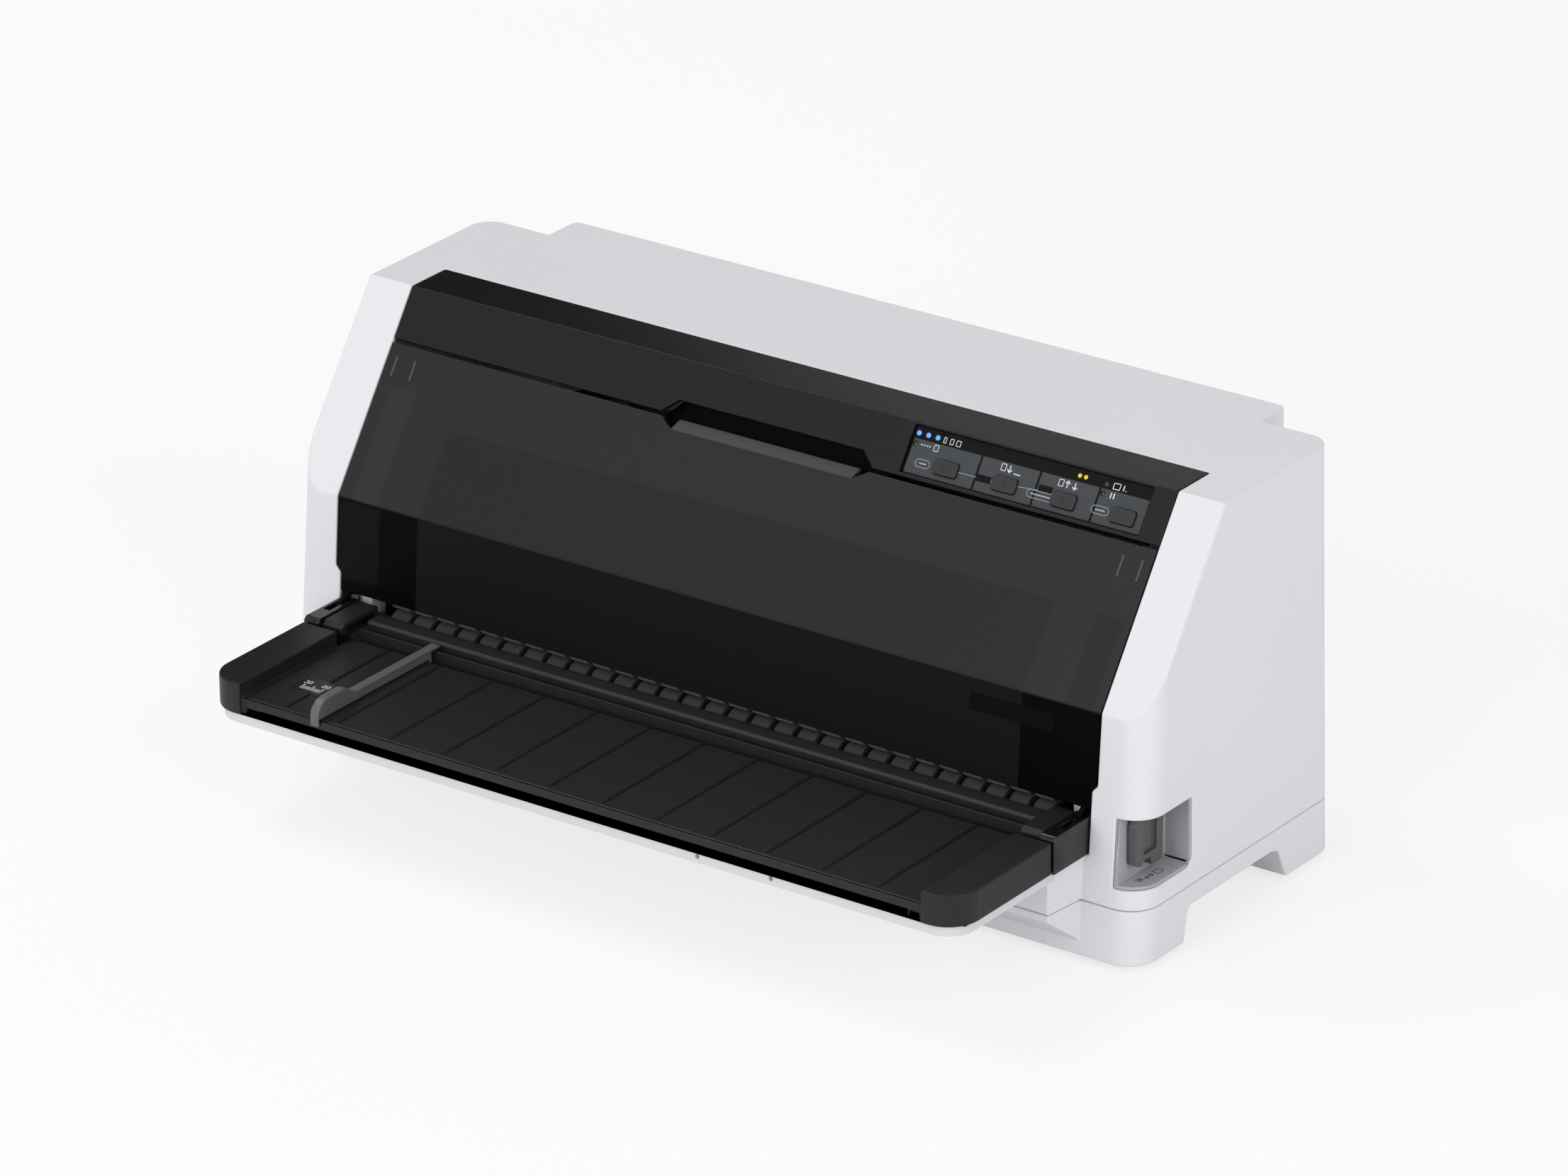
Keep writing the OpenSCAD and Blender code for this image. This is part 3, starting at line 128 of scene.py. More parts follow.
def on_front(x: float, up: float, out: float = 0.0) -> Vector:
    """A point on the leaning lower front of the cover.

    Args:
        x: distance to the right of the centre plane.
        up: height above the bottom edge of the case.
        out: distance out of its surface.

    Returns:
        The point in metres.
    """
    back = -(KNEE_Z - up) * math.tan(FRONT_LEAN)
    return fold(x, back - out * math.cos(FRONT_LEAN), up + out * math.sin(FRONT_LEAN))


def linear(hex_colour: str) -> tuple[float, float, float, float]:
    """Turns an sRGB hex colour to the linear values that shaders take.

    Args:
        hex_colour: such as "#1F8CFF".

    Returns:
        Red, green, blue and an alpha of 1.
    """
    parts = [int(hex_colour[i:i + 2], 16) / 255 for i in (1, 3, 5)]
    red, green, blue = [p / 12.92 if p <= 0.04045 else ((p + 0.055) / 1.055) ** 2.4 for p in parts]
    return red, green, blue, 1.0


def add_node(tree: bpy.types.NodeTree, kind: str, settings: Optional[dict] = None,
             inputs: Optional[dict] = None) -> bpy.types.Node:
    """Adds one node with its settings, values and links.

    Args:
        tree: the tree that gets the node.
        kind: the node's type name.
        settings: attributes to set on the node.
        inputs: values or sockets for its inputs, by name or number.

    Returns:
        The new node.
    """
    node = tree.nodes.new(kind)
    for key, value in (settings or {}).items():
        setattr(node, key, value)
    for key, value in (inputs or {}).items():
        if isinstance(value, bpy.types.NodeSocket):
            tree.links.new(value, node.inputs[key])
        else:
            node.inputs[key].default_value = value
    return node


# ---------------------------------------------------------------- finishes

def blank_finish(name: str) -> bpy.types.Material:
    """Makes a material whose tree is still empty."""
    made = bpy.data.materials.new(name)
    made.use_nodes = True
    made.node_tree.nodes.clear()
    return made


class Finish(ABC):
    """The look of a surface. Its material is built once and found again by its name."""

    name: str

    @abstractmethod
    def surface(self, tree: bpy.types.NodeTree) -> bpy.types.NodeSocket:
        """Adds the finish's nodes and returns the socket with its shader."""

    def material(self) -> bpy.types.Material:
        """Builds the material once and returns it."""
        made = bpy.data.materials.get(self.name)
        if made is None:
            made = blank_finish(self.name)
            shader = self.surface(made.node_tree)
            add_node(made.node_tree, "ShaderNodeOutputMaterial", inputs={"Surface": shader})
        return made


@dataclass(frozen=True)
class Moulding(Finish):
    """A moulded or rolled surface: its colour, gloss and the fine grain that its tool left on it.

    grain_mm is the size of the grain and relief its depth; clouding is how far the colour wanders;
    specular is the strength of its reflection; stretch below 1 draws the grain out along that axis,
    and above 1 packs it.
    """

    name: str
    colour: str
    roughness: float = 0.5
    grain_mm: float = 0.9
    relief: float = 0.12
    clouding: float = 0.05
    metallic: float = 0.0
    specular: float = 0.5
    stretch: tuple[float, float, float] = (1.0, 1.0, 1.0)

    def surface(self, tree: bpy.types.NodeTree) -> bpy.types.NodeSocket:
        """Adds the finish's nodes and returns the socket with its shader."""
        place = add_node(tree, "ShaderNodeTexCoord").outputs["Object"]
        scaled = add_node(tree, "ShaderNodeMapping", inputs={
            "Vector": place, "Scale": self.stretch}).outputs["Vector"]
        grain = add_node(tree, "ShaderNodeTexNoise", inputs={
            "Vector": scaled, "Scale": 1000 / self.grain_mm, "Detail": 3.0, "Roughness": 0.6})
        cloud = add_node(tree, "ShaderNodeTexNoise", inputs={
            "Vector": place, "Scale": CLOUD_SCALE, "Detail": 4.0, "Roughness": 0.55})
        base = linear(self.colour)
        shade = [c * (1 - self.clouding) for c in base[:3]] + [1.0]
        tint = [min(1.0, c * (1 + self.clouding)) for c in base[:3]] + [1.0]
        colour = add_node(tree, "ShaderNodeMix", {"data_type": "RGBA"}, {
            "Factor": cloud.outputs["Fac"], "A": shade, "B": tint})
        gloss = add_node(tree, "ShaderNodeMapRange", inputs={
            "Value": grain.outputs["Fac"], "From Min": 0.3, "From Max": 0.7,
            "To Min": self.roughness - 0.04, "To Max": self.roughness + 0.05})
        bump = add_node(tree, "ShaderNodeBump", inputs={
            "Height": grain.outputs["Fac"], "Strength": self.relief, "Distance": GRAIN_DEPTH})
        return add_node(tree, "ShaderNodeBsdfPrincipled", inputs={
            "Base Color": colour.outputs["Result"], "Roughness": gloss.outputs["Result"],
            "Normal": bump.outputs["Normal"], "Metallic": self.metallic, "IOR": PLASTIC_IOR,
            "Specular IOR Level": self.specular}).outputs["BSDF"]


@dataclass(frozen=True)
class PaintedPatch:
    """A faint upright patch of painted light and shade on a smoked sheet, for a part that shows in it.

    Its ends are millimetres in the fold frame, across and up; weight is how much it shows.
    """

    x0: float
    x1: float
    z0: float
    z1: float
    colour: str
    weight: float
    blur: float = 0.25


@dataclass(frozen=True)
class SmokedSheet(Finish):
    """Smoke-tinted polystyrene: a dark, nearly opaque sheet with a fine satin face.

    colour is the sloping part's and deep the upright part's, painted darker than the slope as shade; shine
    and shaded_shine are the strengths of their reflections, the upright part's painted weaker as shade; blend
    is half the height over which one turns to the other; ghosts are patches of painted light and shade for
    the parts that show in it.
    """

    name: str
    colour: str
    deep: str
    see_through: float
    roughness: float
    painted_patches: tuple[PaintedPatch, ...] = ()
    shine: float = 0.27
    shaded_shine: float = 0.03
    blend: float = 0.6
    ior: float = 1.49

    @staticmethod
    def between(tree: bpy.types.NodeTree, value: bpy.types.NodeSocket, low: float, high: float,
                blur: float) -> bpy.types.NodeSocket:
        """Adds nodes that give 1 where a value lies between two ends and 0 outside them.

        Args:
            tree: the finish's tree.
            value: the socket that is measured.
            low: the lower end.
            high: the upper end.
            blur: half the width of the soft step at each end.

        Returns:
            The socket with the result.
        """
        rise = add_node(tree, "ShaderNodeMapRange", inputs={
            "Value": value, "From Min": low - blur, "From Max": low + blur}).outputs["Result"]
        fall = add_node(tree, "ShaderNodeMapRange", inputs={
            "Value": value, "From Min": high + blur, "From Max": high - blur}).outputs["Result"]
        return add_node(tree, "ShaderNodeMath", {"operation": "MULTIPLY"}, {0: rise, 1: fall}).outputs[0]

    def surface(self, tree: bpy.types.NodeTree) -> bpy.types.NodeSocket:
        """Adds the finish's nodes and returns the socket with its shader."""
        place = add_node(tree, "ShaderNodeTexCoord").outputs["Object"]
        grain = add_node(tree, "ShaderNodeTexNoise", inputs={
            "Vector": place, "Scale": 1400.0, "Detail": 2.0, "Roughness": 0.6})
        gloss = add_node(tree, "ShaderNodeMapRange", inputs={
            "Value": grain.outputs["Fac"], "From Min": 0.3, "From Max": 0.7,
            "To Min": self.roughness - 0.03, "To Max": self.roughness + 0.04})
        bump = add_node(tree, "ShaderNodeBump", inputs={
            "Height": grain.outputs["Fac"], "Strength": 0.06, "Distance": GRAIN_DEPTH})
        axes = add_node(tree, "ShaderNodeSeparateXYZ", inputs={"Vector": place})
        height = axes.outputs["Z"]
        # Painted shade: below the knee the sheet turns to its darker upright colour and a weaker reflection
        sloped = add_node(tree, "ShaderNodeMapRange", inputs={
            "Value": height, "From Min": fold(0, 0, KNEE_Z - self.blend).z,
            "From Max": fold(0, 0, KNEE_Z + self.blend).z})
        shine = add_node(tree, "ShaderNodeMapRange", inputs={
            "Value": sloped.outputs["Result"], "To Min": self.shaded_shine, "To Max": self.shine})
        tone = add_node(tree, "ShaderNodeMix", {"data_type": "RGBA"}, {
            "Factor": sloped.outputs["Result"], "A": linear(self.deep), "B": linear(self.colour)})
        # Painted light and shade: each patch blends its colour into the sheet where a part shows in it
        for painted_patch in self.painted_patches:
            across = self.between(tree, axes.outputs["X"], painted_patch.x0 * MM, painted_patch.x1 * MM, painted_patch.blur * MM)
            low, high = fold(0, 0, painted_patch.z0).z, fold(0, 0, painted_patch.z1).z
            along = self.between(tree, height, low, high, painted_patch.blur * MM)
            both = add_node(tree, "ShaderNodeMath", {"operation": "MULTIPLY"}, {0: across, 1: along})
            shown = add_node(tree, "ShaderNodeMath", {"operation": "MULTIPLY"}, {
                0: both.outputs[0], 1: painted_patch.weight})
            tone = add_node(tree, "ShaderNodeMix", {"data_type": "RGBA"}, {
                "Factor": shown.outputs[0], "A": tone.outputs["Result"], "B": linear(painted_patch.colour)})
        return add_node(tree, "ShaderNodeBsdfPrincipled", inputs={
            "Base Color": tone.outputs["Result"], "Roughness": gloss.outputs["Result"],
            "Normal": bump.outputs["Normal"], "IOR": self.ior,
            "Specular IOR Level": shine.outputs["Result"], "Alpha": 1 - self.see_through}).outputs["BSDF"]


@dataclass(frozen=True)
class LitLens(Finish):
    """A clear lens over a lit diode: palest where it faces the eye, deep in colour round its edge."""

    name: str
    colour: str
    middle: str
    strength: float

    def surface(self, tree: bpy.types.NodeTree) -> bpy.types.NodeSocket:
        """Adds the finish's nodes and returns the socket with its shader."""
        turned = add_node(tree, "ShaderNodeLayerWeight", inputs={"Blend": 0.6}).outputs["Facing"]
        glow = add_node(tree, "ShaderNodeMix", {"data_type": "RGBA"}, {
            "Factor": turned, "A": linear(self.middle), "B": linear(self.colour)}).outputs["Result"]
        return add_node(tree, "ShaderNodeBsdfPrincipled", inputs={
            "Base Color": linear("#0A0A0C"), "Roughness": 0.15, "Specular IOR Level": 0.2,
            "Emission Color": glow, "Emission Strength": self.strength}).outputs["BSDF"]


# ABS of the case, moulded with a spark-eroded texture: soft, even, no mirror
CASE_WHITE = Moulding("abs_case_white", "#DCDCE0", 0.55, 0.8, 0.10, 0.012)
# The same ABS under the table, polished a little smoother, its colour painted darker as the shade of the
# table over it
TRAY_WHITE_SHADED = Moulding("abs_tray_white", "#D0D3D5", 0.5, 0.8, 0.08, 0.012)
# Pale grey ABS that lines the lever's pocket, its colour darkened with painted shade of the deep pocket
POCKET_GREY_AND_SHADE = Moulding("abs_pocket_grey", "#A6A6AA", 0.5, 0.8, 0.08, 0.015)
# Black ABS of the band, textured so that it shows no fingerprints
BAND_BLACK = Moulding("abs_band_black", "#161617", 0.38, 0.8, 0.14, 0.06, specular=0.24)
# Piano-black acrylic of the panel's strip
STRIP_BLACK = Moulding("acrylic_strip_black", "#050506", 0.3, 0.8, 0.0, 0.0, specular=0.18)
# Printed grey film round the keys: matt polyester
FILM_GREY = Moulding("polyester_film_grey", "#3E4144", 0.6, 0.5, 0.05, 0.03, specular=0.25)
# Moulded keys, a shade warmer and glossier from use
KEY_GREY = Moulding("abs_key_grey", "#2C2C2E", 0.42, 0.6, 0.10, 0.05, specular=0.35)
# Satin black polystyrene of the sheet table, with a tooled grain
TABLE_BLACK = Moulding("polystyrene_table_black", "#1D1C1E", 0.46, 0.8, 0.22, 0.07, specular=0.32)
# Glossy black acetal of the cover's pivots
PIVOT_BLACK = Moulding("acetal_pivot_black", "#101011", 0.22, 0.8, 0.05, 0.05)
# Charcoal ABS of the guide's slider
GUIDE_GREY = Moulding("abs_guide_grey", "#5A5A5C", 0.45, 0.8, 0.12, 0.03)
# Charcoal ABS of the paper lever
LEVER_GREY = Moulding("abs_lever_grey", "#4C4C4E", 0.45, 0.8, 0.12, 0.03)
# Black glass-filled plastic of the works, dull and a little streaky
WORKS_BLACK = Moulding("glass_filled_black", "#19191A", 0.55, 1.2, 0.25, 0.10)
# Zinc-plated sheet steel with a rolled grain along its length
ZINC_SHEET = Moulding("zinc_plated_sheet", "#A9ACB0", 0.38, 3.0, 0.05, 0.10, metallic=1.0,
                      stretch=(0.1, 1.0, 1.0))
# Ground shaft steel, fine rings round its length
GROUND_STEEL = Moulding("ground_shaft_steel", "#B6B6B8", 0.22, 0.6, 0.05, 0.04, metallic=1.0,
                        stretch=(4.0, 1.0, 1.0))
# Plated motor cans
MOTOR_CAN = Moulding("plated_motor_can", "#8A8B8E", 0.35, 2.0, 0.05, 0.06, metallic=1.0)
# Cast aluminium of the head, blasted
HEAD_ALLOY = Moulding("blasted_aluminium", "#8D8E91", 0.5, 0.8, 0.25, 0.08, metallic=1.0)
# Natural polyamide gears, milky
NYLON = Moulding("polyamide_natural", "#D9D6CB", 0.42, 1.5, 0.06, 0.04)
# Oil-filled sintered bronze
BRONZE = Moulding("sintered_bronze", "#9A7442", 0.45, 0.7, 0.25, 0.12, metallic=1.0)
# Ground nitrile rubber of the rollers
ROLLER_RUBBER = Moulding("nitrile_rubber", "#1A1A1B", 0.62, 0.7, 0.2, 0.08)
# Grey rubber tyres of the feed rollers
FEED_GREY = Moulding("nitrile_rubber_grey", "#48484A", 0.6, 0.7, 0.2, 0.06)
# Grey polyacetal followers that the photo shows through the slot
FOLLOWER_GREY = Moulding("acetal_follower_grey", "#6F7072", 0.42, 0.8, 0.08, 0.05)
# Moulded rubber of feet and stops
FOOT_RUBBER = Moulding("moulded_rubber_black", "#111112", 0.6, 0.9, 0.2, 0.06)
# Solder mask over glass fibre, its weave just showing
BOARD_GREEN = Moulding("solder_mask_green", "#1F5A37", 0.35, 1.2, 0.15, 0.08)
# The panel's board, masked black
BOARD_BLACK = Moulding("solder_mask_black", "#08080A", 0.5, 1.2, 0.1, 0.05, specular=0.1)
# Bare phenolic paper board of the power supply
BOARD_BROWN = Moulding("phenolic_board_brown", "#7A5A36", 0.5, 1.2, 0.12, 0.10)
# Bare diode lens, unlit
DARK_LENS = Moulding("acrylic_lens_dark", "#2A2A2B", 0.2, 0.8, 0.0, 0.0)
# Screen-printing inks of the marks
PRINT_WHITE = Moulding("screen_ink_white", "#D8D9DA", 0.5, 0.4, 0.05, 0.02)
PRINT_GREY = Moulding("screen_ink_grey", "#3E3E41", 0.5, 0.4, 0.05, 0.02)
PRINT_LINE = Moulding("screen_ink_pale", "#A9ABAD", 0.5, 0.4, 0.05, 0.02)
# Dark of the key signs: painted shade of signs sunk into the keys, laid on as flat dark marks
KEY_SIGN_SHADE = Moulding("screen_ink_dark", "#161617", 0.5, 0.4, 0.05, 0.02)
PRINT_YELLOW = Moulding("screen_ink_yellow", "#E8C51C", 0.5, 0.4, 0.05, 0.02)
# Printed scale, glossier than the table round it
SCALE_BLACK = Moulding("printed_scale_black", "#0B0B0C", 0.35, 0.5, 0.04, 0.03)
# Matt black: painted shade on the plate behind the notch and on the plate over the cover's recess; also the
# studio's black card
SHADE_AND_CARD_BLACK = Moulding("shadow_black", "#060607", 0.8, 1.0, 0.05, 0.05, specular=0.1)
# The cover, its upright part painted darker as shade, with painted patches and upright ticks of light and
# shade for what shows faintly in it
SMOKED = SmokedSheet("smoked_polystyrene", "#242426", "#070708", 0.05, 0.38, (
    PaintedPatch(-166.0, 171.5, 60.0, 150.2, "#1B1B1D", 0.8),
    PaintedPatch(-205.0, -190.5, KNEE_Z, 161.0, "#2E2E30", 0.6),
    PaintedPatch(194.5, 208.6, KNEE_Z, 149.6, "#1B1B1D", 0.7),
    PaintedPatch(-208.0, -207.2, 164.4, 172.4, "#5A5A5C", 0.8, 0.15),
    PaintedPatch(-197.3, -196.5, 164.4, 172.4, "#5A5A5C", 0.8, 0.15),
    PaintedPatch(197.3, 198.1, 164.4, 172.4, "#5A5A5C", 0.8, 0.15),
    PaintedPatch(207.6, 208.4, 164.4, 172.4, "#5A5A5C", 0.8, 0.15),
    PaintedPatch(-212.0, -188.5, 76.0, 113.5, "#181819", 0.7, 1.0),
    PaintedPatch(-51.0, 51.0, 173.2, 182.0, "#4C4C4E", 0.9),
))
# Lit diode: deep blue edge, pale middle
BLUE_LIT = LitLens("diode_blue_lit", "#0350D8", "#7CC6FF", 1.0)


# ---------------------------------------------------------------- mesh helpers

def finished_mesh(edit: bmesh.types.BMesh, name: str) -> bpy.types.Mesh:
    """Turns a mesh under construction into a plain one."""
    mesh = bpy.data.meshes.new(name)
    edit.to_mesh(mesh)
    edit.free()
    return mesh


class Corner(Enum):
    """How far a moulding's corners are rounded, in millimetres."""

    SHARP = 0.0
    CRISP = 0.18
    FINE = 0.3
    SOFT = 0.55
    ROUND = 0.9


def plain_mesh(obj: bpy.types.Object) -> bpy.types.Object:
    """Applies an object's modifiers for good.

    Args:
        obj: the piece with its modifiers.

    Returns:
        The same piece with a plain mesh.
    """
    graph = bpy.context.evaluated_depsgraph_get()
    done = bpy.data.meshes.new_from_object(obj.evaluated_get(graph))
    obj.modifiers.clear()
    obj.data = done
    return obj


def new_piece(name: str, mesh: bpy.types.Mesh, finish: Optional[Finish] = None) -> bpy.types.Object:
    """Puts a mesh in the scene as a piece.

    Args:
        name: the piece's name.
        mesh: its mesh, with its place in it.
        finish: the finish that covers it.

    Returns:
        The piece.
    """
    obj = bpy.data.objects.new(name, mesh)
    bpy.context.scene.collection.objects.link(obj)
    if finish is not None:
        mesh.materials.clear()
        mesh.materials.append(finish.material())
    return obj


def soften(obj: bpy.types.Object, corner: Corner, slide: bool = True) -> bpy.types.Object:
    """Rounds a piece's edges and shades it smooth between them.

    Args:
        obj: the piece.
        corner: how far its edges are rounded.
        slide: lets a rounding follow the flat edges that meet it.

    Returns:
        The piece with a plain mesh.
    """
    obj.data.shade_smooth()
    if corner is Corner.SHARP:
        obj.data.set_sharp_from_angle(angle=SHARP_TURN)
        return obj
    bevel = obj.modifiers.new("round", "BEVEL")
    bevel.width = corner.value * MM
    bevel.segments = ROUND_FACES
    bevel.limit_method = "ANGLE"
    bevel.angle_limit = ROUND_TURN
    bevel.use_clamp_overlap = False
    bevel.loop_slide = slide
    flat = obj.modifiers.new("flat faces", "WEIGHTED_NORMAL")
    flat.mode = "FACE_AREA"
    flat.weight = WIDE_FACE_WEIGHT
    return even_shading(plain_mesh(obj))


def even_shading(obj: bpy.types.Object) -> bpy.types.Object:
    """Shades each flat face evenly where only some of its corners lean to a neighbour.

    Args:
        obj: the piece, with a plain mesh.

    Returns:
        The same piece.
    """
    mesh = obj.data
    normals = [Vector(n.vector) for n in mesh.corner_normals]
    for polygon in mesh.polygons:
        lean = sorted(normals[i].angle(polygon.normal, 0.0) for i in polygon.loop_indices)
        if lean[len(lean) // 2] < FLAT_LEAN < lean[-1]:
            for i in polygon.loop_indices:
                normals[i] = polygon.normal.copy()
    mesh.normals_split_custom_set(normals)
    return obj


def mould(node: str, finish: Finish, corner: Corner, slide: bool = True) -> bpy.types.Object:
    """Makes a CAD node's moulded form: its faces joined, its edges rounded, its finish put on.

    Args:
        node: the CAD node it stands for.
        finish: the finish that covers it.
        corner: how far its edges are rounded.
        slide: lets a rounding follow the flat edges that meet it.

    Returns:
        The piece, riding its body in place of the node.
    """
    source = frame["nodes"][node]
    mesh = source.data.copy()
    edit = bmesh.new()
    edit.from_mesh(mesh)
    bmesh.ops.remove_doubles(edit, verts=edit.verts, dist=MERGE_GAP)
    bmesh.ops.dissolve_limit(edit, angle_limit=FLAT_TURN, verts=edit.verts, edges=edit.edges,
                             delimit={"NORMAL"})
    edit.to_mesh(mesh)
    edit.free()
    piece = new_piece(node + "_moulded", mesh, finish)
    for polygon in mesh.polygons:
        polygon.material_index = 0
    soften(piece, corner, slide)
    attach(piece, source["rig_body"])
    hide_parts(node)
    return piece


def plate_mesh(name: str, outlines: Iterable[Sequence[Point]], low: float, high: float,
               place: Callable[..., Vector] = fold) -> bpy.types.Mesh:
    """Flat plates with the given outlines.

    Args:
        name: the mesh's name.
        outlines: for each plate its corners, as pairs.
        low: where the plates start along the third axis.
        high: where they end along it.
        place: carries the frame's points to the model.

    Returns:
        The mesh, with its faces pointing outwards.
    """
    edit = bmesh.new()
    for outline in outlines:
        floor = [edit.verts.new(place(a, b, low)) for a, b in outline]
        top = [edit.verts.new(place(a, b, high)) for a, b in outline]
        count = len(outline)
        edit.faces.new(floor)
        edit.faces.new(top)
        for i in range(count):
            edit.faces.new((floor[i], floor[(i + 1) % count], top[(i + 1) % count], top[i]))
    bmesh.ops.recalc_face_normals(edit, faces=edit.faces)
    return finished_mesh(edit, name)


def ring_outline(cx: float, cy: float, radius: float, count: int = 20) -> list[tuple[float, float]]:
    """Corners of a round outline about (cx, cy)."""
    return [(cx + radius * math.cos(2 * math.pi * i / count), cy + radius * math.sin(2 * math.pi * i / count))
            for i in range(count)]


def bar_outline(x0: float, y0: float, x1: float, y1: float, width: float) -> list[tuple[float, float]]:
    """Corners of a straight bar of a given width from one point to another."""
    along = Vector((x1 - x0, y1 - y0)).normalized() * (width / 2)
    side = Vector((-along.y, along.x))
    return [(x0 - side.x, y0 - side.y), (x1 - side.x, y1 - side.y), (x1 + side.x, y1 + side.y),
            (x0 + side.x, y0 + side.y)]


def box_outline(x0: float, y0: float, width: float, height: float) -> list[tuple[float, float]]:
    """Corners of a box from its lower left corner."""
    return [(x0, y0), (x0 + width, y0), (x0 + width, y0 + height), (x0, y0 + height)]


def pill_outline(x0: float, y0: float, width: float, height: float,
                 count: int = 7) -> list[tuple[float, float]]:
    """Corners of a bar with round ends, from its lower left corner."""
    radius = height / 2
    corners = []
    for cx, start in ((x0 + width - radius, -90.0), (x0 + radius, 90.0)):
        for i in range(count):
            turn = math.radians(start + 180.0 * i / (count - 1))
            corners.append((cx + radius * math.cos(turn), y0 + radius + radius * math.sin(turn)))
    return corners


def loop_outline(corners: Sequence[Point], width: float) -> list[list[tuple[float, float]]]:
    """Straight bars that run round a closed outline."""
    return [bar_outline(*a, *b, width) for a, b in zip(corners, [*corners[1:], corners[0]])]


class RowTree:
    """A Geometry Nodes tree that sets a slim block at even steps along a line."""

    def __init__(self) -> None:
        """Builds the tree once."""
        self.tree = bpy.data.node_groups.new("row_of_ribs", "GeometryNodeTree")
        face = self.tree.interface
        self.names: dict[str, str] = {}
        for label, kind in (("Count", "NodeSocketInt"), ("Start", "NodeSocketVector"),
                            ("Step", "NodeSocketVector"), ("Size", "NodeSocketVector"),
                            ("Finish", "NodeSocketMaterial")):
            self.names[label] = face.new_socket(label, in_out="INPUT", socket_type=kind).identifier
        face.new_socket("Geometry", in_out="OUTPUT", socket_type="NodeSocketGeometry")
        given = add_node(self.tree, "NodeGroupInput").outputs
        line = add_node(self.tree, "GeometryNodeMeshLine", {"mode": "OFFSET"}, {
            "Count": given["Count"], "Start Location": given["Start"], "Offset": given["Step"]})
        block = add_node(self.tree, "GeometryNodeMeshCube", inputs={"Size": given["Size"]})
        row = add_node(self.tree, "GeometryNodeInstanceOnPoints", inputs={
            "Points": line.outputs["Mesh"], "Instance": block.outputs["Mesh"]})
        real = add_node(self.tree, "GeometryNodeRealizeInstances", inputs={
            "Geometry": row.outputs["Instances"]})
        finish = add_node(self.tree, "GeometryNodeSetMaterial", inputs={
            "Geometry": real.outputs["Geometry"], "Material": given["Finish"]})
        add_node(self.tree, "NodeGroupOutput", inputs={"Geometry": finish.outputs["Geometry"]})

    def row(self, name: str, body: str, finish: Finish, count: int, start: Vector, step: Vector,
            size: Point) -> bpy.types.Object:
        """Makes one row as a plain piece with sharp edges.

        Args:
            name: the piece's name.
            body: the body it rides.
            finish: its finish.
            count: how many blocks.
            start: centre of the first block, in metres.
            step: from one block to the next, in metres.
            size: each block's size, in millimetres.

        Returns:
            The piece.
        """
        piece = new_piece(name, bpy.data.meshes.new(name))
        modifier = piece.modifiers.new("row", "NODES")
        modifier.node_group = self.tree
        for label, value in (("Count", count), ("Start", tuple(start)), ("Step", tuple(step)),
                             ("Size", tuple(v * MM for v in size)), ("Finish", finish.material())):
            modifier[self.names[label]] = value
        plain_mesh(piece)
        soften(piece, Corner.SHARP)
        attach(piece, body)
        return piece


# ---------------------------------------------------------------- sub-assemblies

@dataclass
class CaseShells:
    """The pale lower and upper case with feet, screws, inlet, switch and ports."""

    def build(self) -> None:
        """Makes the shells and what is fixed on them."""
        mould("lower_case", CASE_WHITE, Corner.ROUND)
        mould("upper_case", CASE_WHITE, Corner.ROUND)
        mould("rubber_feet", FOOT_RUBBER, Corner.SOFT)
        mould("case_screws", ZINC_SHEET, Corner.CRISP)
        mould("power_inlet", WORKS_BLACK, Corner.FINE)
        mould("power_switch", PIVOT_BLACK, Corner.FINE)
        mould("interface_plate", ZINC_SHEET, Corner.CRISP)


@dataclass
class DarkBand:
    """The black band over the top edge, with a black plate of painted shade behind its finger notch."""

    half: float = 62.0
    half_top: float = 54.0
    low_s: float = 74.0
    knee_s: float = 79.0
    top_s: float = 88.0
    depth: float = 11.0

    def build(self) -> None:
        """Makes the band and the painted shade behind the notch."""
        mould("front_band", BAND_BLACK, Corner.SOFT, slide=False)
        # Painted shade: a matt black plate deep behind the notch stands for the shade there
        notch = [(-self.half, self.low_s), (self.half, self.low_s), (self.half, self.knee_s),
                 (self.half_top, self.top_s), (-self.half_top, self.top_s), (-self.half, self.knee_s)]
        mesh = plate_mesh("notch_wall", [notch], -self.depth - 1.0, -self.depth, on_slope)
        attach(new_piece("notch_wall", mesh, SHADE_AND_CARD_BLACK), "case")


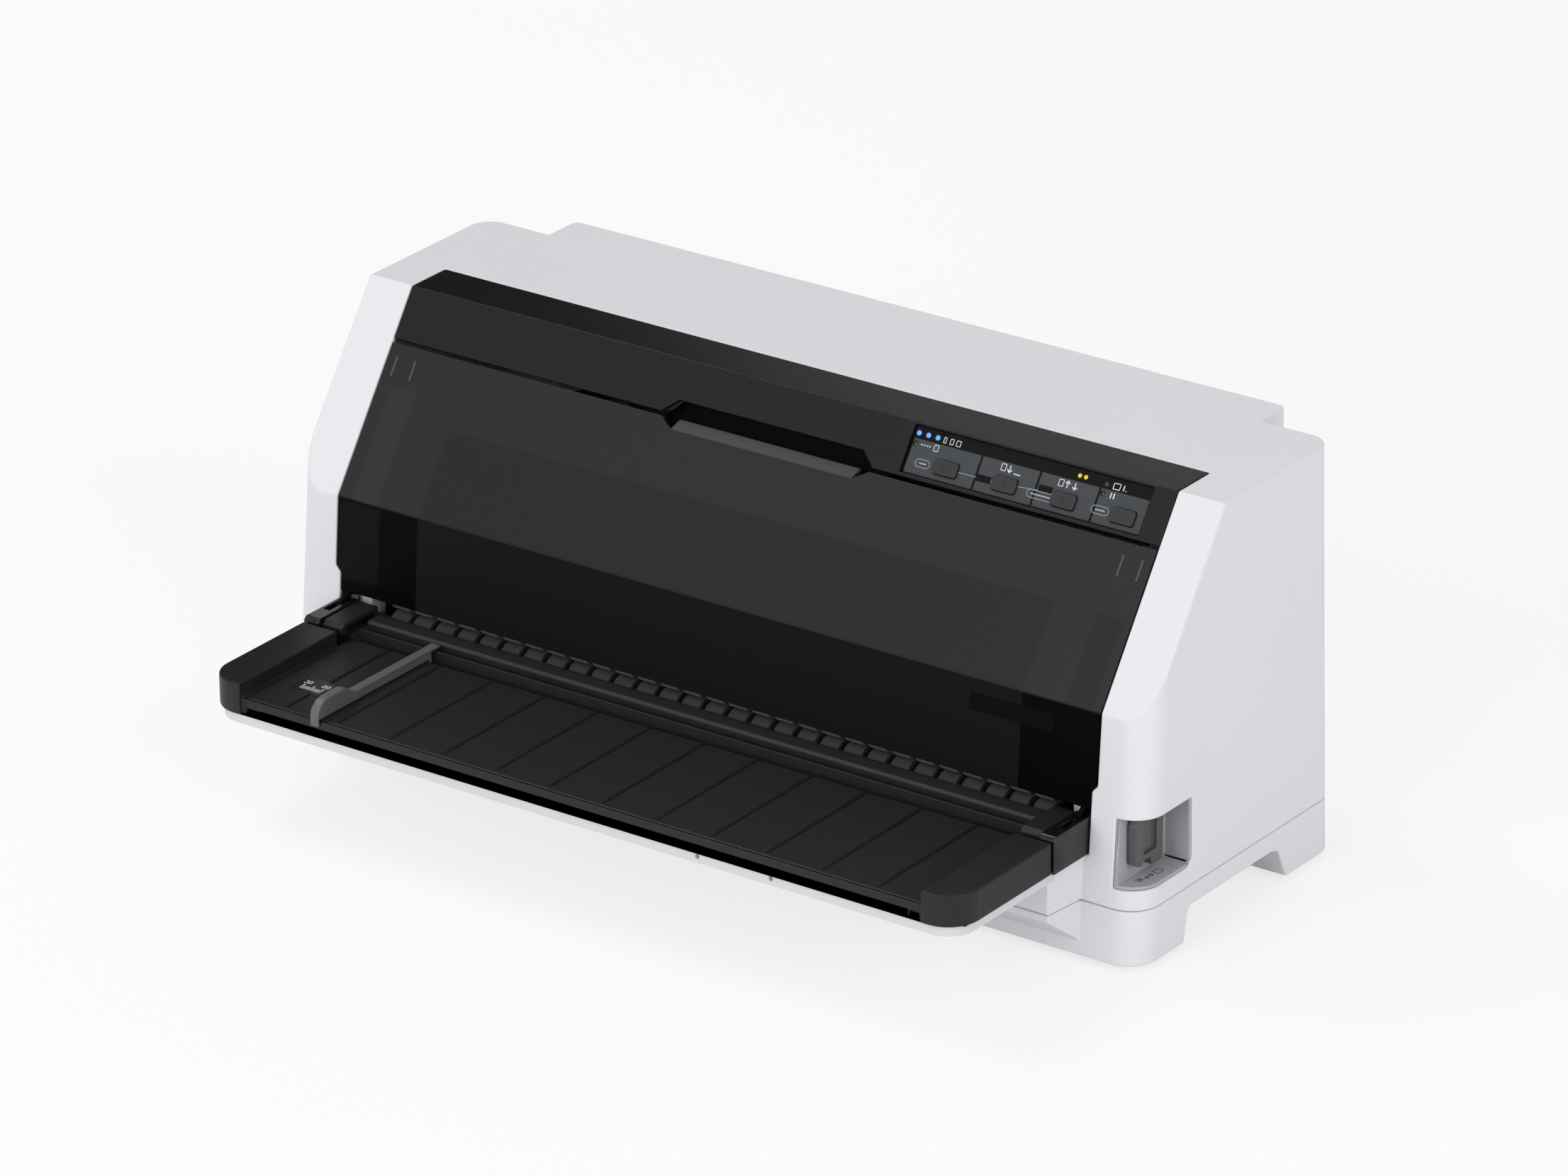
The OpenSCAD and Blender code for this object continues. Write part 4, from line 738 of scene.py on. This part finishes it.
@dataclass
class ControlPanel:
    """Keys, film, strip and lamps on the slope.

    Places are across and up the slope. key_top, film_top and strip_top are the heights of those faces
    above its surface; ink stands on them by ink_t and reaches into them by ink_sink. The lenses have
    radius lamp_r and a dome of height dome; lamp_root is how deep they go. thin, stroke and line are the
    widths of the signs' strokes.
    """

    key_x0: float = 95.2
    key_pitch: float = 31.65
    key_s: float = 86.5
    key_top: float = -0.3
    film_top: float = -1.6
    strip_top: float = -2.0
    ink_t: float = 0.06
    ink_sink: float = 0.03
    lit: tuple[tuple[float, float], ...] = ((75.2, 99.2), (80.3, 99.2), (85.4, 99.2))
    unlit: tuple[tuple[float, float], ...] = ((75.4, 94.2), (176.4, 98.9), (176.3, 94.3))
    lamp_r: float = 1.25
    lamp_rings: int = 5
    lamp_sides: int = 20
    lamp_root: float = -11.0
    dome: float = 0.5
    dome_turn: float = 0.94
    thin: float = 0.3
    stroke: float = 0.45
    line: float = 0.2

    def lens(self, name: str, centres: Sequence[tuple[float, float]], finish: Finish,
             top: float) -> bpy.types.Object:
        """Makes a set of domed lenses.

        Args:
            name: the piece's name.
            centres: where they stand, across and up the slope.
            finish: their finish.
            top: height of the dome's top above the slope.

        Returns:
            The piece.
        """
        edit = bmesh.new()
        rings, sides = self.lamp_rings, self.lamp_sides
        for cx, cs in centres:
            loops = []
            for ring in range(rings):
                lean = ring / (rings - 1) * math.pi / 2 * self.dome_turn
                radius, height = self.lamp_r * math.cos(lean), top - self.dome + self.dome * math.sin(lean)
                loops.append([edit.verts.new(on_slope(x, s, height))
                              for x, s in ring_outline(cx, cs, radius, sides)])
            base = [edit.verts.new(on_slope(x, s, self.lamp_root))
                    for x, s in ring_outline(cx, cs, self.lamp_r, sides)]
            loops.insert(0, base)
            for low, high in zip(loops, loops[1:]):
                for i in range(sides):
                    edit.faces.new((low[i], low[(i + 1) % sides], high[(i + 1) % sides], high[i]))
            edit.faces.new(loops[-1])
            edit.faces.new(list(reversed(base)))
        bmesh.ops.recalc_face_normals(edit, faces=edit.faces)
        mesh = finished_mesh(edit, name)
        piece = new_piece(name, mesh, finish)
        mesh.shade_smooth()
        mesh.set_sharp_from_angle(angle=LENS_TURN)
        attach(piece, "case")
        return piece

    def signs(self) -> None:
        """Sets a plain sign in the top of each key, painted dark as the shade of a sunk sign: a page, an
        arrow down, an arrow up and two bars.
        """
        shapes = {
            "font_button": [bar_outline(-2.6, -1.3, -2.6, 1.3, 0.4),
                            *loop_outline(box_outline(-0.9, -1.3, 2.2, 2.6), 0.35)],
            "feed_button": loop_outline([(-1.3, 1.2), (1.3, 1.2), (0.0, -1.5)], 0.35),
            "load_button": loop_outline([(-1.3, -1.2), (0.0, 1.5), (1.3, -1.2)], 0.35),
            "pause_button": [bar_outline(x, -1.4, x, 1.4, width)
                             for x, width in ((-2.6, 0.4), (0.2, 0.5), (2.0, 0.5))],
        }
        for index, (body, outlines) in enumerate(shapes.items()):
            x0 = self.key_x0 + index * self.key_pitch
            placed = [[(x0 + x, self.key_s + s) for x, s in outline] for outline in outlines]
            self.print_on(body + "_sign", placed, self.key_top, KEY_SIGN_SHADE, body)

    def print_on(self, name: str, outlines: Iterable[Sequence[Point]], level: float, ink: Finish,
                 body: str = "case") -> None:
        """Prints flat marks on the panel.

        Args:
            name: the piece's name.
            outlines: the marks, across and up the slope.
            level: height of the printed face above the slope.
            ink: the finish of the marks.
            body: the body they ride.
        """
        mesh = plate_mesh(name, outlines, level - self.ink_sink, level + self.ink_t, on_slope)
        piece = new_piece(name, mesh, ink)
        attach(piece, body)

    def pictograms(self) -> None:
        """Prints plain signs without words beside the lamps and keys, joined by thin lines."""
        film, strip, lines = [], [], []
        first, second, third, last = [self.key_x0 + i * self.key_pitch for i in range(4)]
        mid, thin, stroke, line = self.key_s, self.thin, self.stroke, self.line
        # Lit lamps: three pages of rising width
        for i, width in enumerate((1.2, 1.7, 2.2)):
            strip += loop_outline(box_outline(89.0 + 3.4 * i, 97.7, width, 2.5), thin)
        # Lamp below them: a sheet torn off along dots
        film += [bar_outline(78.4 + 1.5 * i, 94.3, 79.3 + 1.5 * i, 94.3, stroke) for i in range(4)]
        film += loop_outline(box_outline(85.6, 92.9, 2.2, 2.8), thin)
        # Second key: a sheet that moves down by a line
        film += loop_outline(box_outline(second - 4.6, 92.6, 2.4, 3.0), thin)
        film += [bar_outline(second, 92.4, second, 95.6, stroke),
                 bar_outline(second - 1.2, 93.7, second, 92.3, stroke),
                 bar_outline(second + 1.2, 93.7, second, 92.3, stroke),
                 bar_outline(second + 2.6, 92.3, second + 6, 92.3, stroke)]
        # Third key: a sheet that goes in and comes out
        film += loop_outline(box_outline(third - 5.4, 92.6, 2.4, 3.0), thin)
        for x, way in ((third - 0.8, 1.0), (third + 3.2, -1.0)):
            film += [bar_outline(x, 92.4, x, 95.6, stroke)]
            film += [bar_outline(x + side, 94.0 + 0.4 * way, x, 94.0 + 1.7 * way, stroke)
                     for side in (-1.2, 1.2)]
        # Last lamps: an empty tray, and two bars
        strip += loop_outline(box_outline(180.2, 97.5, 3.4, 2.7), 0.35)
        strip += [bar_outline(185.6, 97.6, 185.6, 100.2, 0.5), bar_outline(187.0, 97.6, 187.0, 97.9, 0.5)]
        film += [bar_outline(x, 93.0, x, 95.6, 0.55) for x in (180.6, 182.2)]
        # Badges left of the keys, and the lines that join them
        for x, s, length in ((first - 16.6, 84.2, 7.8), (last - 17.0, 84.9, 9.2), (third - 19.6, 84.2, 14.6)):
            lines += loop_outline(pill_outline(x, s, length, 3.6), 0.22)
            lines += [bar_outline(x + 2.0, s + 1.8, x + length - 2.0, s + 1.8, 0.5)]
        lines += [bar_outline(first + 6.6, mid, second - 15.4, mid, line),
                  bar_outline(second - 7.6, mid, second - 6.6, mid, line),
                  bar_outline(second + 6.6, mid + 0.8, third - 14.6, mid + 1.6, line),
                  bar_outline(third - 7.2, mid + 1.8, third - 6.6, mid + 1.8, line)]
        patches = [box_outline(second - 15.2, 85.0, 7.6, 3.2), box_outline(third - 14.6, 88.0, 7.4, 3.0)]
        warning = [ring_outline(x, 99.4, 1.0) for x in (162.0, 165.2)]
        self.print_on("film_signs", film, self.film_top, PRINT_WHITE)
        self.print_on("film_lines", lines, self.film_top, PRINT_LINE)
        self.print_on("strip_signs", strip, self.strip_top, PRINT_WHITE)
        self.print_on("film_patches", patches, self.film_top, STRIP_BLACK)
        self.print_on("strip_warning", warning, self.strip_top, PRINT_YELLOW)

    def build(self) -> None:
        """Makes the panel."""
        mould("panel_plate", STRIP_BLACK, Corner.CRISP)
        mould("panel_film", FILM_GREY, Corner.CRISP)
        mould("panel_board", BOARD_BLACK, Corner.SHARP)
        for key in ("font_key", "feed_key", "load_key", "pause_key"):
            mould(key, KEY_GREY, Corner.SOFT)
        lit = self.lens("lamps_lit", self.lit, BLUE_LIT, -1.5)
        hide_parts("status_lamps")
        self.lens("lamps_unlit", self.unlit, DARK_LENS, -1.7)
        self.signs()
        self.pictograms()


@dataclass
class SmokedCover:
    """The hinged cover with its cutting edge, hinge blocks, guide caps, and a black plate of painted shade
    over its small recess.
    """

    recess: tuple[float, float, float, float] = (144.0, 100.0, 44.6, 8.5)

    def build(self) -> None:
        """Makes the cover and what carries it."""
        mould("printer_cover", SMOKED, Corner.FINE)
        mould("tear_edge", GROUND_STEEL, Corner.SHARP)
        for side in ("left", "right"):
            mould(side + "_hinge_block", PIVOT_BLACK, Corner.SOFT)
            mould(side + "_guide_cap", TABLE_BLACK, Corner.SOFT)
        # Painted shade: a thin matt black plate over the recess stands for its shade
        mesh = plate_mesh("cover_recess", [box_outline(*self.recess)], -0.2, 0.08, on_front)
        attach(new_piece("cover_recess", mesh, SHADE_AND_CARD_BLACK), "cover")


@dataclass
class SheetTable:
    """The table, its tray, scale and sliding guide.

    The scale starts at scale_x, scale_y on the deck; figures holds each figure's stroke in a box of 1 by 1,
    and the figures stand figure_lift above the ticks' foot, one figure_pitch apart.
    """

    rows: RowTree = field(default_factory=RowTree)
    scale_x: float = -178.0
    scale_y: float = -82.0
    deck_z: float = 57.0
    ticks: int = 11
    tick_pitch: float = 1.1
    tick_l: float = 3.0
    end_tick_l: float = 4.8
    figure_lift: float = 5.9
    figure_pitch: float = 2.3
    figures: tuple[tuple[str, tuple[tuple[float, float], ...]], ...] = (
        ("0", ((0, 0), (1, 0), (1, 1), (0, 1), (0, 0))),
        ("2", ((0, 1), (1, 1), (1, 0.5), (0, 0.5), (0, 0), (1, 0))),
        ("3", ((0, 1), (1, 1), (1, 0.5), (0.3, 0.5), (1, 0.5), (1, 0), (0, 0))),
    )

    def figure(self, mark: str, x0: float, y0: float, width: float = 1.5,
               height: float = 2.2) -> list[list[tuple[float, float]]]:
        """Strokes of one figure of the scale, from its lower left corner."""
        points = [(x0 + x * width, y0 + y * height) for x, y in dict(self.figures)[mark]]
        return [bar_outline(*a, *b, 0.4) for a, b in zip(points, points[1:])]

    def build(self) -> None:
        """Makes the table."""
        mould("sheet_table", TABLE_BLACK, Corner.ROUND)
        mould("table_tray", TRAY_WHITE_SHADED, Corner.SOFT)
        mould("scale_plate", SCALE_BLACK, Corner.SHARP)
        mould("edge_guide", GUIDE_GREY, Corner.SOFT)
        top, left, low = self.deck_z, self.scale_x + 3.4, self.scale_y + 2.6
        span = self.tick_pitch * (self.ticks - 1)
        self.rows.row("scale_ticks", "case", PRINT_WHITE, self.ticks,
                      fold(left, low + self.tick_l / 2, top + 0.02),
                      Vector((self.tick_pitch, 0, 0)) * MM, (0.42, self.tick_l, 0.08))
        strokes = [bar_outline(x, low, x, low + self.end_tick_l, 0.55)
                   for x in (left, left + span / 2, left + span)]
        for x, marks in ((left - 1.9, "30"), (left + 8.4, "20")):
            for place, mark in enumerate(marks):
                strokes += self.figure(mark, x + self.figure_pitch * place, low + self.figure_lift)
        mesh = plate_mesh("scale_figures", strokes, top - 0.02, top + 0.06)
        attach(new_piece("scale_figures", mesh, PRINT_WHITE), "case")


@dataclass
class LeverPocket:
    """The lined pocket, its paper lever and the signs on its ledge."""

    ledge_z: float = 37.45
    mid_x: float = 232.3
    ink: float = 0.4

    def build(self) -> None:
        """Makes the pocket."""
        mould("lever_bezel", POCKET_GREY_AND_SHADE, Corner.SOFT)
        mould("paper_lever", LEVER_GREY, Corner.SOFT)
        mould("lever_pin", GROUND_STEEL, Corner.CRISP)
        floor, mid = self.ledge_z, self.mid_x
        # A folded stack, an arrow both ways and a single sheet
        signs = [bar_outline(229.6, y, 232.6, y + 0.9, self.ink) for y in (2.6, 4.4)]
        signs += [bar_outline(229.6, y + 1.8, 232.6, y + 0.9, self.ink) for y in (2.6, 4.4)]
        signs += [bar_outline(mid, 8.4, mid, 12.0, 0.5)]
        for y, way in ((7.7, 1.0), (12.7, -1.0)):
            signs += [bar_outline(mid + side, y + 1.4 * way, mid, y, 0.5) for side in (-1.3, 1.3)]
        signs += loop_outline(box_outline(mid - 1.2, 14.6, 3.2, 4.4), self.ink)
        mesh = plate_mesh("lever_marks", signs, floor - 0.02, floor + 0.08)
        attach(new_piece("lever_marks", mesh, PRINT_GREY), "case")


@dataclass
class FeedWorks:
    """Guides, rollers, platen and gears that move the sheet."""

    def build(self) -> None:
        """Makes the feed works."""
        mould("front_guide", WORKS_BLACK, Corner.FINE)
        mould("rear_guide", WORKS_BLACK, Corner.CRISP)
        mould("feed_roller", FEED_GREY, Corner.FINE)
        mould("follower_rollers", FOLLOWER_GREY, Corner.FINE)
        mould("roller_bearings", NYLON, Corner.FINE)
        mould("platen", ROLLER_RUBBER, Corner.FINE)
        mould("platen_bushes", BRONZE, Corner.CRISP)
        for gear in ("platen_gear", "feed_gear", "idler_gear", "reduction_gear"):
            mould(gear, NYLON, Corner.SHARP)
        mould("gear_axles", GROUND_STEEL, Corner.CRISP)
        mould("feed_motor", MOTOR_CAN, Corner.SOFT)
        mould("motor_pinion", BRONZE, Corner.SHARP)


@dataclass
class PrintWorks:
    """Carriage, head, ribbon and belt drive."""

    def build(self) -> None:
        """Makes the print works."""
        for sheet in ("base_frame", "left_side_frame", "right_side_frame", "carriage_rail"):
            mould(sheet, ZINC_SHEET, Corner.CRISP)
        mould("carriage_rod", GROUND_STEEL, Corner.FINE)
        mould("carriage", WORKS_BLACK, Corner.SOFT)
        mould("carriage_bushes", BRONZE, Corner.CRISP)
        mould("print_head", HEAD_ALLOY, Corner.CRISP)
        mould("ribbon_guide", WORKS_BLACK, Corner.CRISP)
        mould("ribbon_cartridge", WORKS_BLACK, Corner.ROUND)
        mould("ribbon_knob", FOLLOWER_GREY, Corner.FINE)
        mould("carriage_motor", MOTOR_CAN, Corner.SOFT)
        mould("drive_pulley", BRONZE, Corner.CRISP)
        mould("idler_pulley", NYLON, Corner.CRISP)
        mould("timing_belt", ROLLER_RUBBER, Corner.CRISP)


@dataclass
class Boards:
    """Circuit boards on the floor of the case."""

    def build(self) -> None:
        """Makes the boards."""
        mould("main_board", BOARD_GREEN, Corner.CRISP)
        mould("power_board", BOARD_BROWN, Corner.CRISP)


# ---------------------------------------------------------------- studio

@dataclass
class Studio:
    """Pale floor, soft lamps and the camera at the photo's viewing angle.

    Angles are degrees, eye is millimetres in the fold frame, and focal_px and image_px are pixels of the
    photo. Each lamp has its name, place in metres, width in metres and watts. floor_white is how much of
    the floor's colour is plain white to the eye, and sky_light how bright the sky is where the eye doesn't
    see it.
    """

    azimuth: float = 36.147
    elevation: float = 23.838
    roll: float = -0.615
    eye: tuple[float, float, float] = (2185.2, -2933.6, 1737.4)
    focal_px: float = 12536.0
    image_px: float = 2212.0
    sensor: float = 36.0
    floor_colour: str = "#F4F4F5"
    floor_reach: float = 30.0
    floor_white: float = 0.72
    sky_light: float = 0.58
    lamps: tuple[tuple[str, tuple[float, float, float], float, float], ...] = field(default=(
        ("front_lamp", (-0.3, -3.2, 1.5), 2.4, 44.0),
        ("side_lamp", (3.0, -0.8, 1.4), 2.2, 31.0),
        ("top_lamp", (-1.9, 0.1, 2.8), 1.2, 22.0),
    ))
    card_at: tuple[float, float, float] = (-0.73, 0.295, 0.50)
    card_size: tuple[float, float] = (1.0, 0.9)
    card_aim: tuple[float, float, float] = (0.0, 0.02, 0.2)
    lamp_aim: tuple[float, float, float] = (0.0, 0.0, 0.1)
    clip: tuple[float, float] = (0.1, 100.0)

    def card(self) -> None:
        """Stands a black card behind on the left, seen only in reflections: it deepens the band's top."""
        edit = bmesh.new()
        away = (Vector(self.card_aim) - Vector(self.card_at)).normalized()
        across = Vector((0, 0, 1)).cross(away).normalized() * (self.card_size[0] / 2)
        rise = away.cross(across).normalized() * (self.card_size[1] / 2)
        edit.faces.new([edit.verts.new(Vector(self.card_at) + across * i + rise * j)
                        for i, j in ((-1, -1), (1, -1), (1, 1), (-1, 1))])
        piece = new_piece("card", finished_mesh(edit, "card"), SHADE_AND_CARD_BLACK)
        piece.visible_camera = piece.visible_diffuse = False
        piece.visible_shadow = piece.visible_transmission = False

    def floor(self) -> None:
        """Lays the floor: matt, shown near white with its shadow kept, and clear from below."""
        edit = bmesh.new()
        reach = self.floor_reach
        corners = ((-reach, -reach, 0), (reach, -reach, 0), (reach, reach, 0), (-reach, reach, 0))
        edit.faces.new([edit.verts.new(corner) for corner in corners])
        mesh = finished_mesh(edit, "floor")
        made = blank_finish("studio_floor")
        tree = made.node_tree
        matt = add_node(tree, "ShaderNodeBsdfDiffuse", inputs={"Color": linear(self.floor_colour)})
        white = add_node(tree, "ShaderNodeEmission", inputs={"Color": (1, 1, 1, 1), "Strength": 1.0})
        rays = add_node(tree, "ShaderNodeLightPath")
        seen = add_node(tree, "ShaderNodeMath", {"operation": "MULTIPLY"}, {
            0: rays.outputs["Is Camera Ray"], 1: self.floor_white})
        mix = add_node(tree, "ShaderNodeMixShader", inputs={
            0: seen.outputs[0], 1: matt.outputs["BSDF"], 2: white.outputs["Emission"]})
        side = add_node(tree, "ShaderNodeNewGeometry").outputs["Backfacing"]
        clear = add_node(tree, "ShaderNodeBsdfTransparent")
        both = add_node(tree, "ShaderNodeMixShader", inputs={
            0: side, 1: mix.outputs["Shader"], 2: clear.outputs["BSDF"]})
        add_node(tree, "ShaderNodeOutputMaterial", inputs={"Surface": both.outputs["Shader"]})
        mesh.materials.append(made)
        piece = new_piece("floor", mesh)

    def sky(self) -> None:
        """Gives the world a soft even light that the camera sees as white."""
        world = bpy.data.worlds.new("studio")
        bpy.context.scene.world = world
        world.use_nodes = True
        tree = world.node_tree
        tree.nodes.clear()
        rays = add_node(tree, "ShaderNodeLightPath")
        seen = add_node(tree, "ShaderNodeMath", {"operation": "MAXIMUM"}, {
            0: rays.outputs["Is Camera Ray"], 1: rays.outputs["Is Transmission Ray"]})
        level = add_node(tree, "ShaderNodeMapRange", inputs={
            "Value": seen.outputs[0], "To Min": self.sky_light, "To Max": 1.0})
        light = add_node(tree, "ShaderNodeBackground", inputs={
            "Color": (1, 1, 1, 1), "Strength": level.outputs["Result"]})
        add_node(tree, "ShaderNodeOutputWorld", inputs={"Surface": light.outputs["Background"]})

    def light(self) -> None:
        """Hangs the soft lamps, each turned to the printer."""
        for name, place, size, power in self.lamps:
            data = bpy.data.lights.new(name, "AREA")
            data.shape = "DISK"
            data.size = size
            data.energy = power
            lamp = bpy.data.objects.new(name, data)
            lamp.location = place
            aim = Vector(self.lamp_aim) - Vector(place)
            lamp.rotation_euler = aim.to_track_quat("-Z", "Y").to_euler()
            bpy.context.scene.collection.objects.link(lamp)

    def camera(self) -> None:
        """Sets the camera as the photo's own was worked out to stand."""
        a, e, r = (math.radians(v) for v in (self.azimuth, self.elevation, self.roll))
        back = Vector((math.sin(a) * math.cos(e), -math.cos(a) * math.cos(e), math.sin(e)))
        level_right = Vector((0, 0, 1)).cross(back).normalized()
        level_up = back.cross(level_right)
        right = level_right * math.cos(r) + level_up * math.sin(r)
        up = back.cross(right)
        data = bpy.data.cameras.new("camera")
        data.sensor_width = self.sensor
        data.lens = self.focal_px / self.image_px * self.sensor
        data.clip_start, data.clip_end = self.clip
        camera = bpy.data.objects.new("camera", data)
        turn = Matrix((right, up, back)).transposed().to_4x4()
        camera.matrix_world = Matrix.Translation(fold(*self.eye)) @ turn
        bpy.context.scene.collection.objects.link(camera)
        bpy.context.scene.camera = camera

    def build(self) -> None:
        """Sets the studio up."""
        bpy.context.scene.view_settings.view_transform = "Standard"
        self.floor()
        self.card()
        self.sky()
        self.light()
        self.camera()


def main() -> None:
    """Builds the studio and each sub-assembly in order, and says how large each came out."""
    logging.basicConfig(level=logging.INFO, format="%(name)s: %(message)s")
    Studio().build()
    for group in (CaseShells(), DarkBand(), ControlPanel(), SmokedCover(), SheetTable(), LeverPocket(),
                  FeedWorks(), PrintWorks(), Boards()):
        before = set(bpy.data.objects)
        group.build()
        for piece in sorted(set(bpy.data.objects) - before, key=lambda o: o.name):
            log.info("%s: %s, %d faces", type(group).__name__, piece.name, len(piece.data.polygons))


if __name__ == "__main__":
    main()
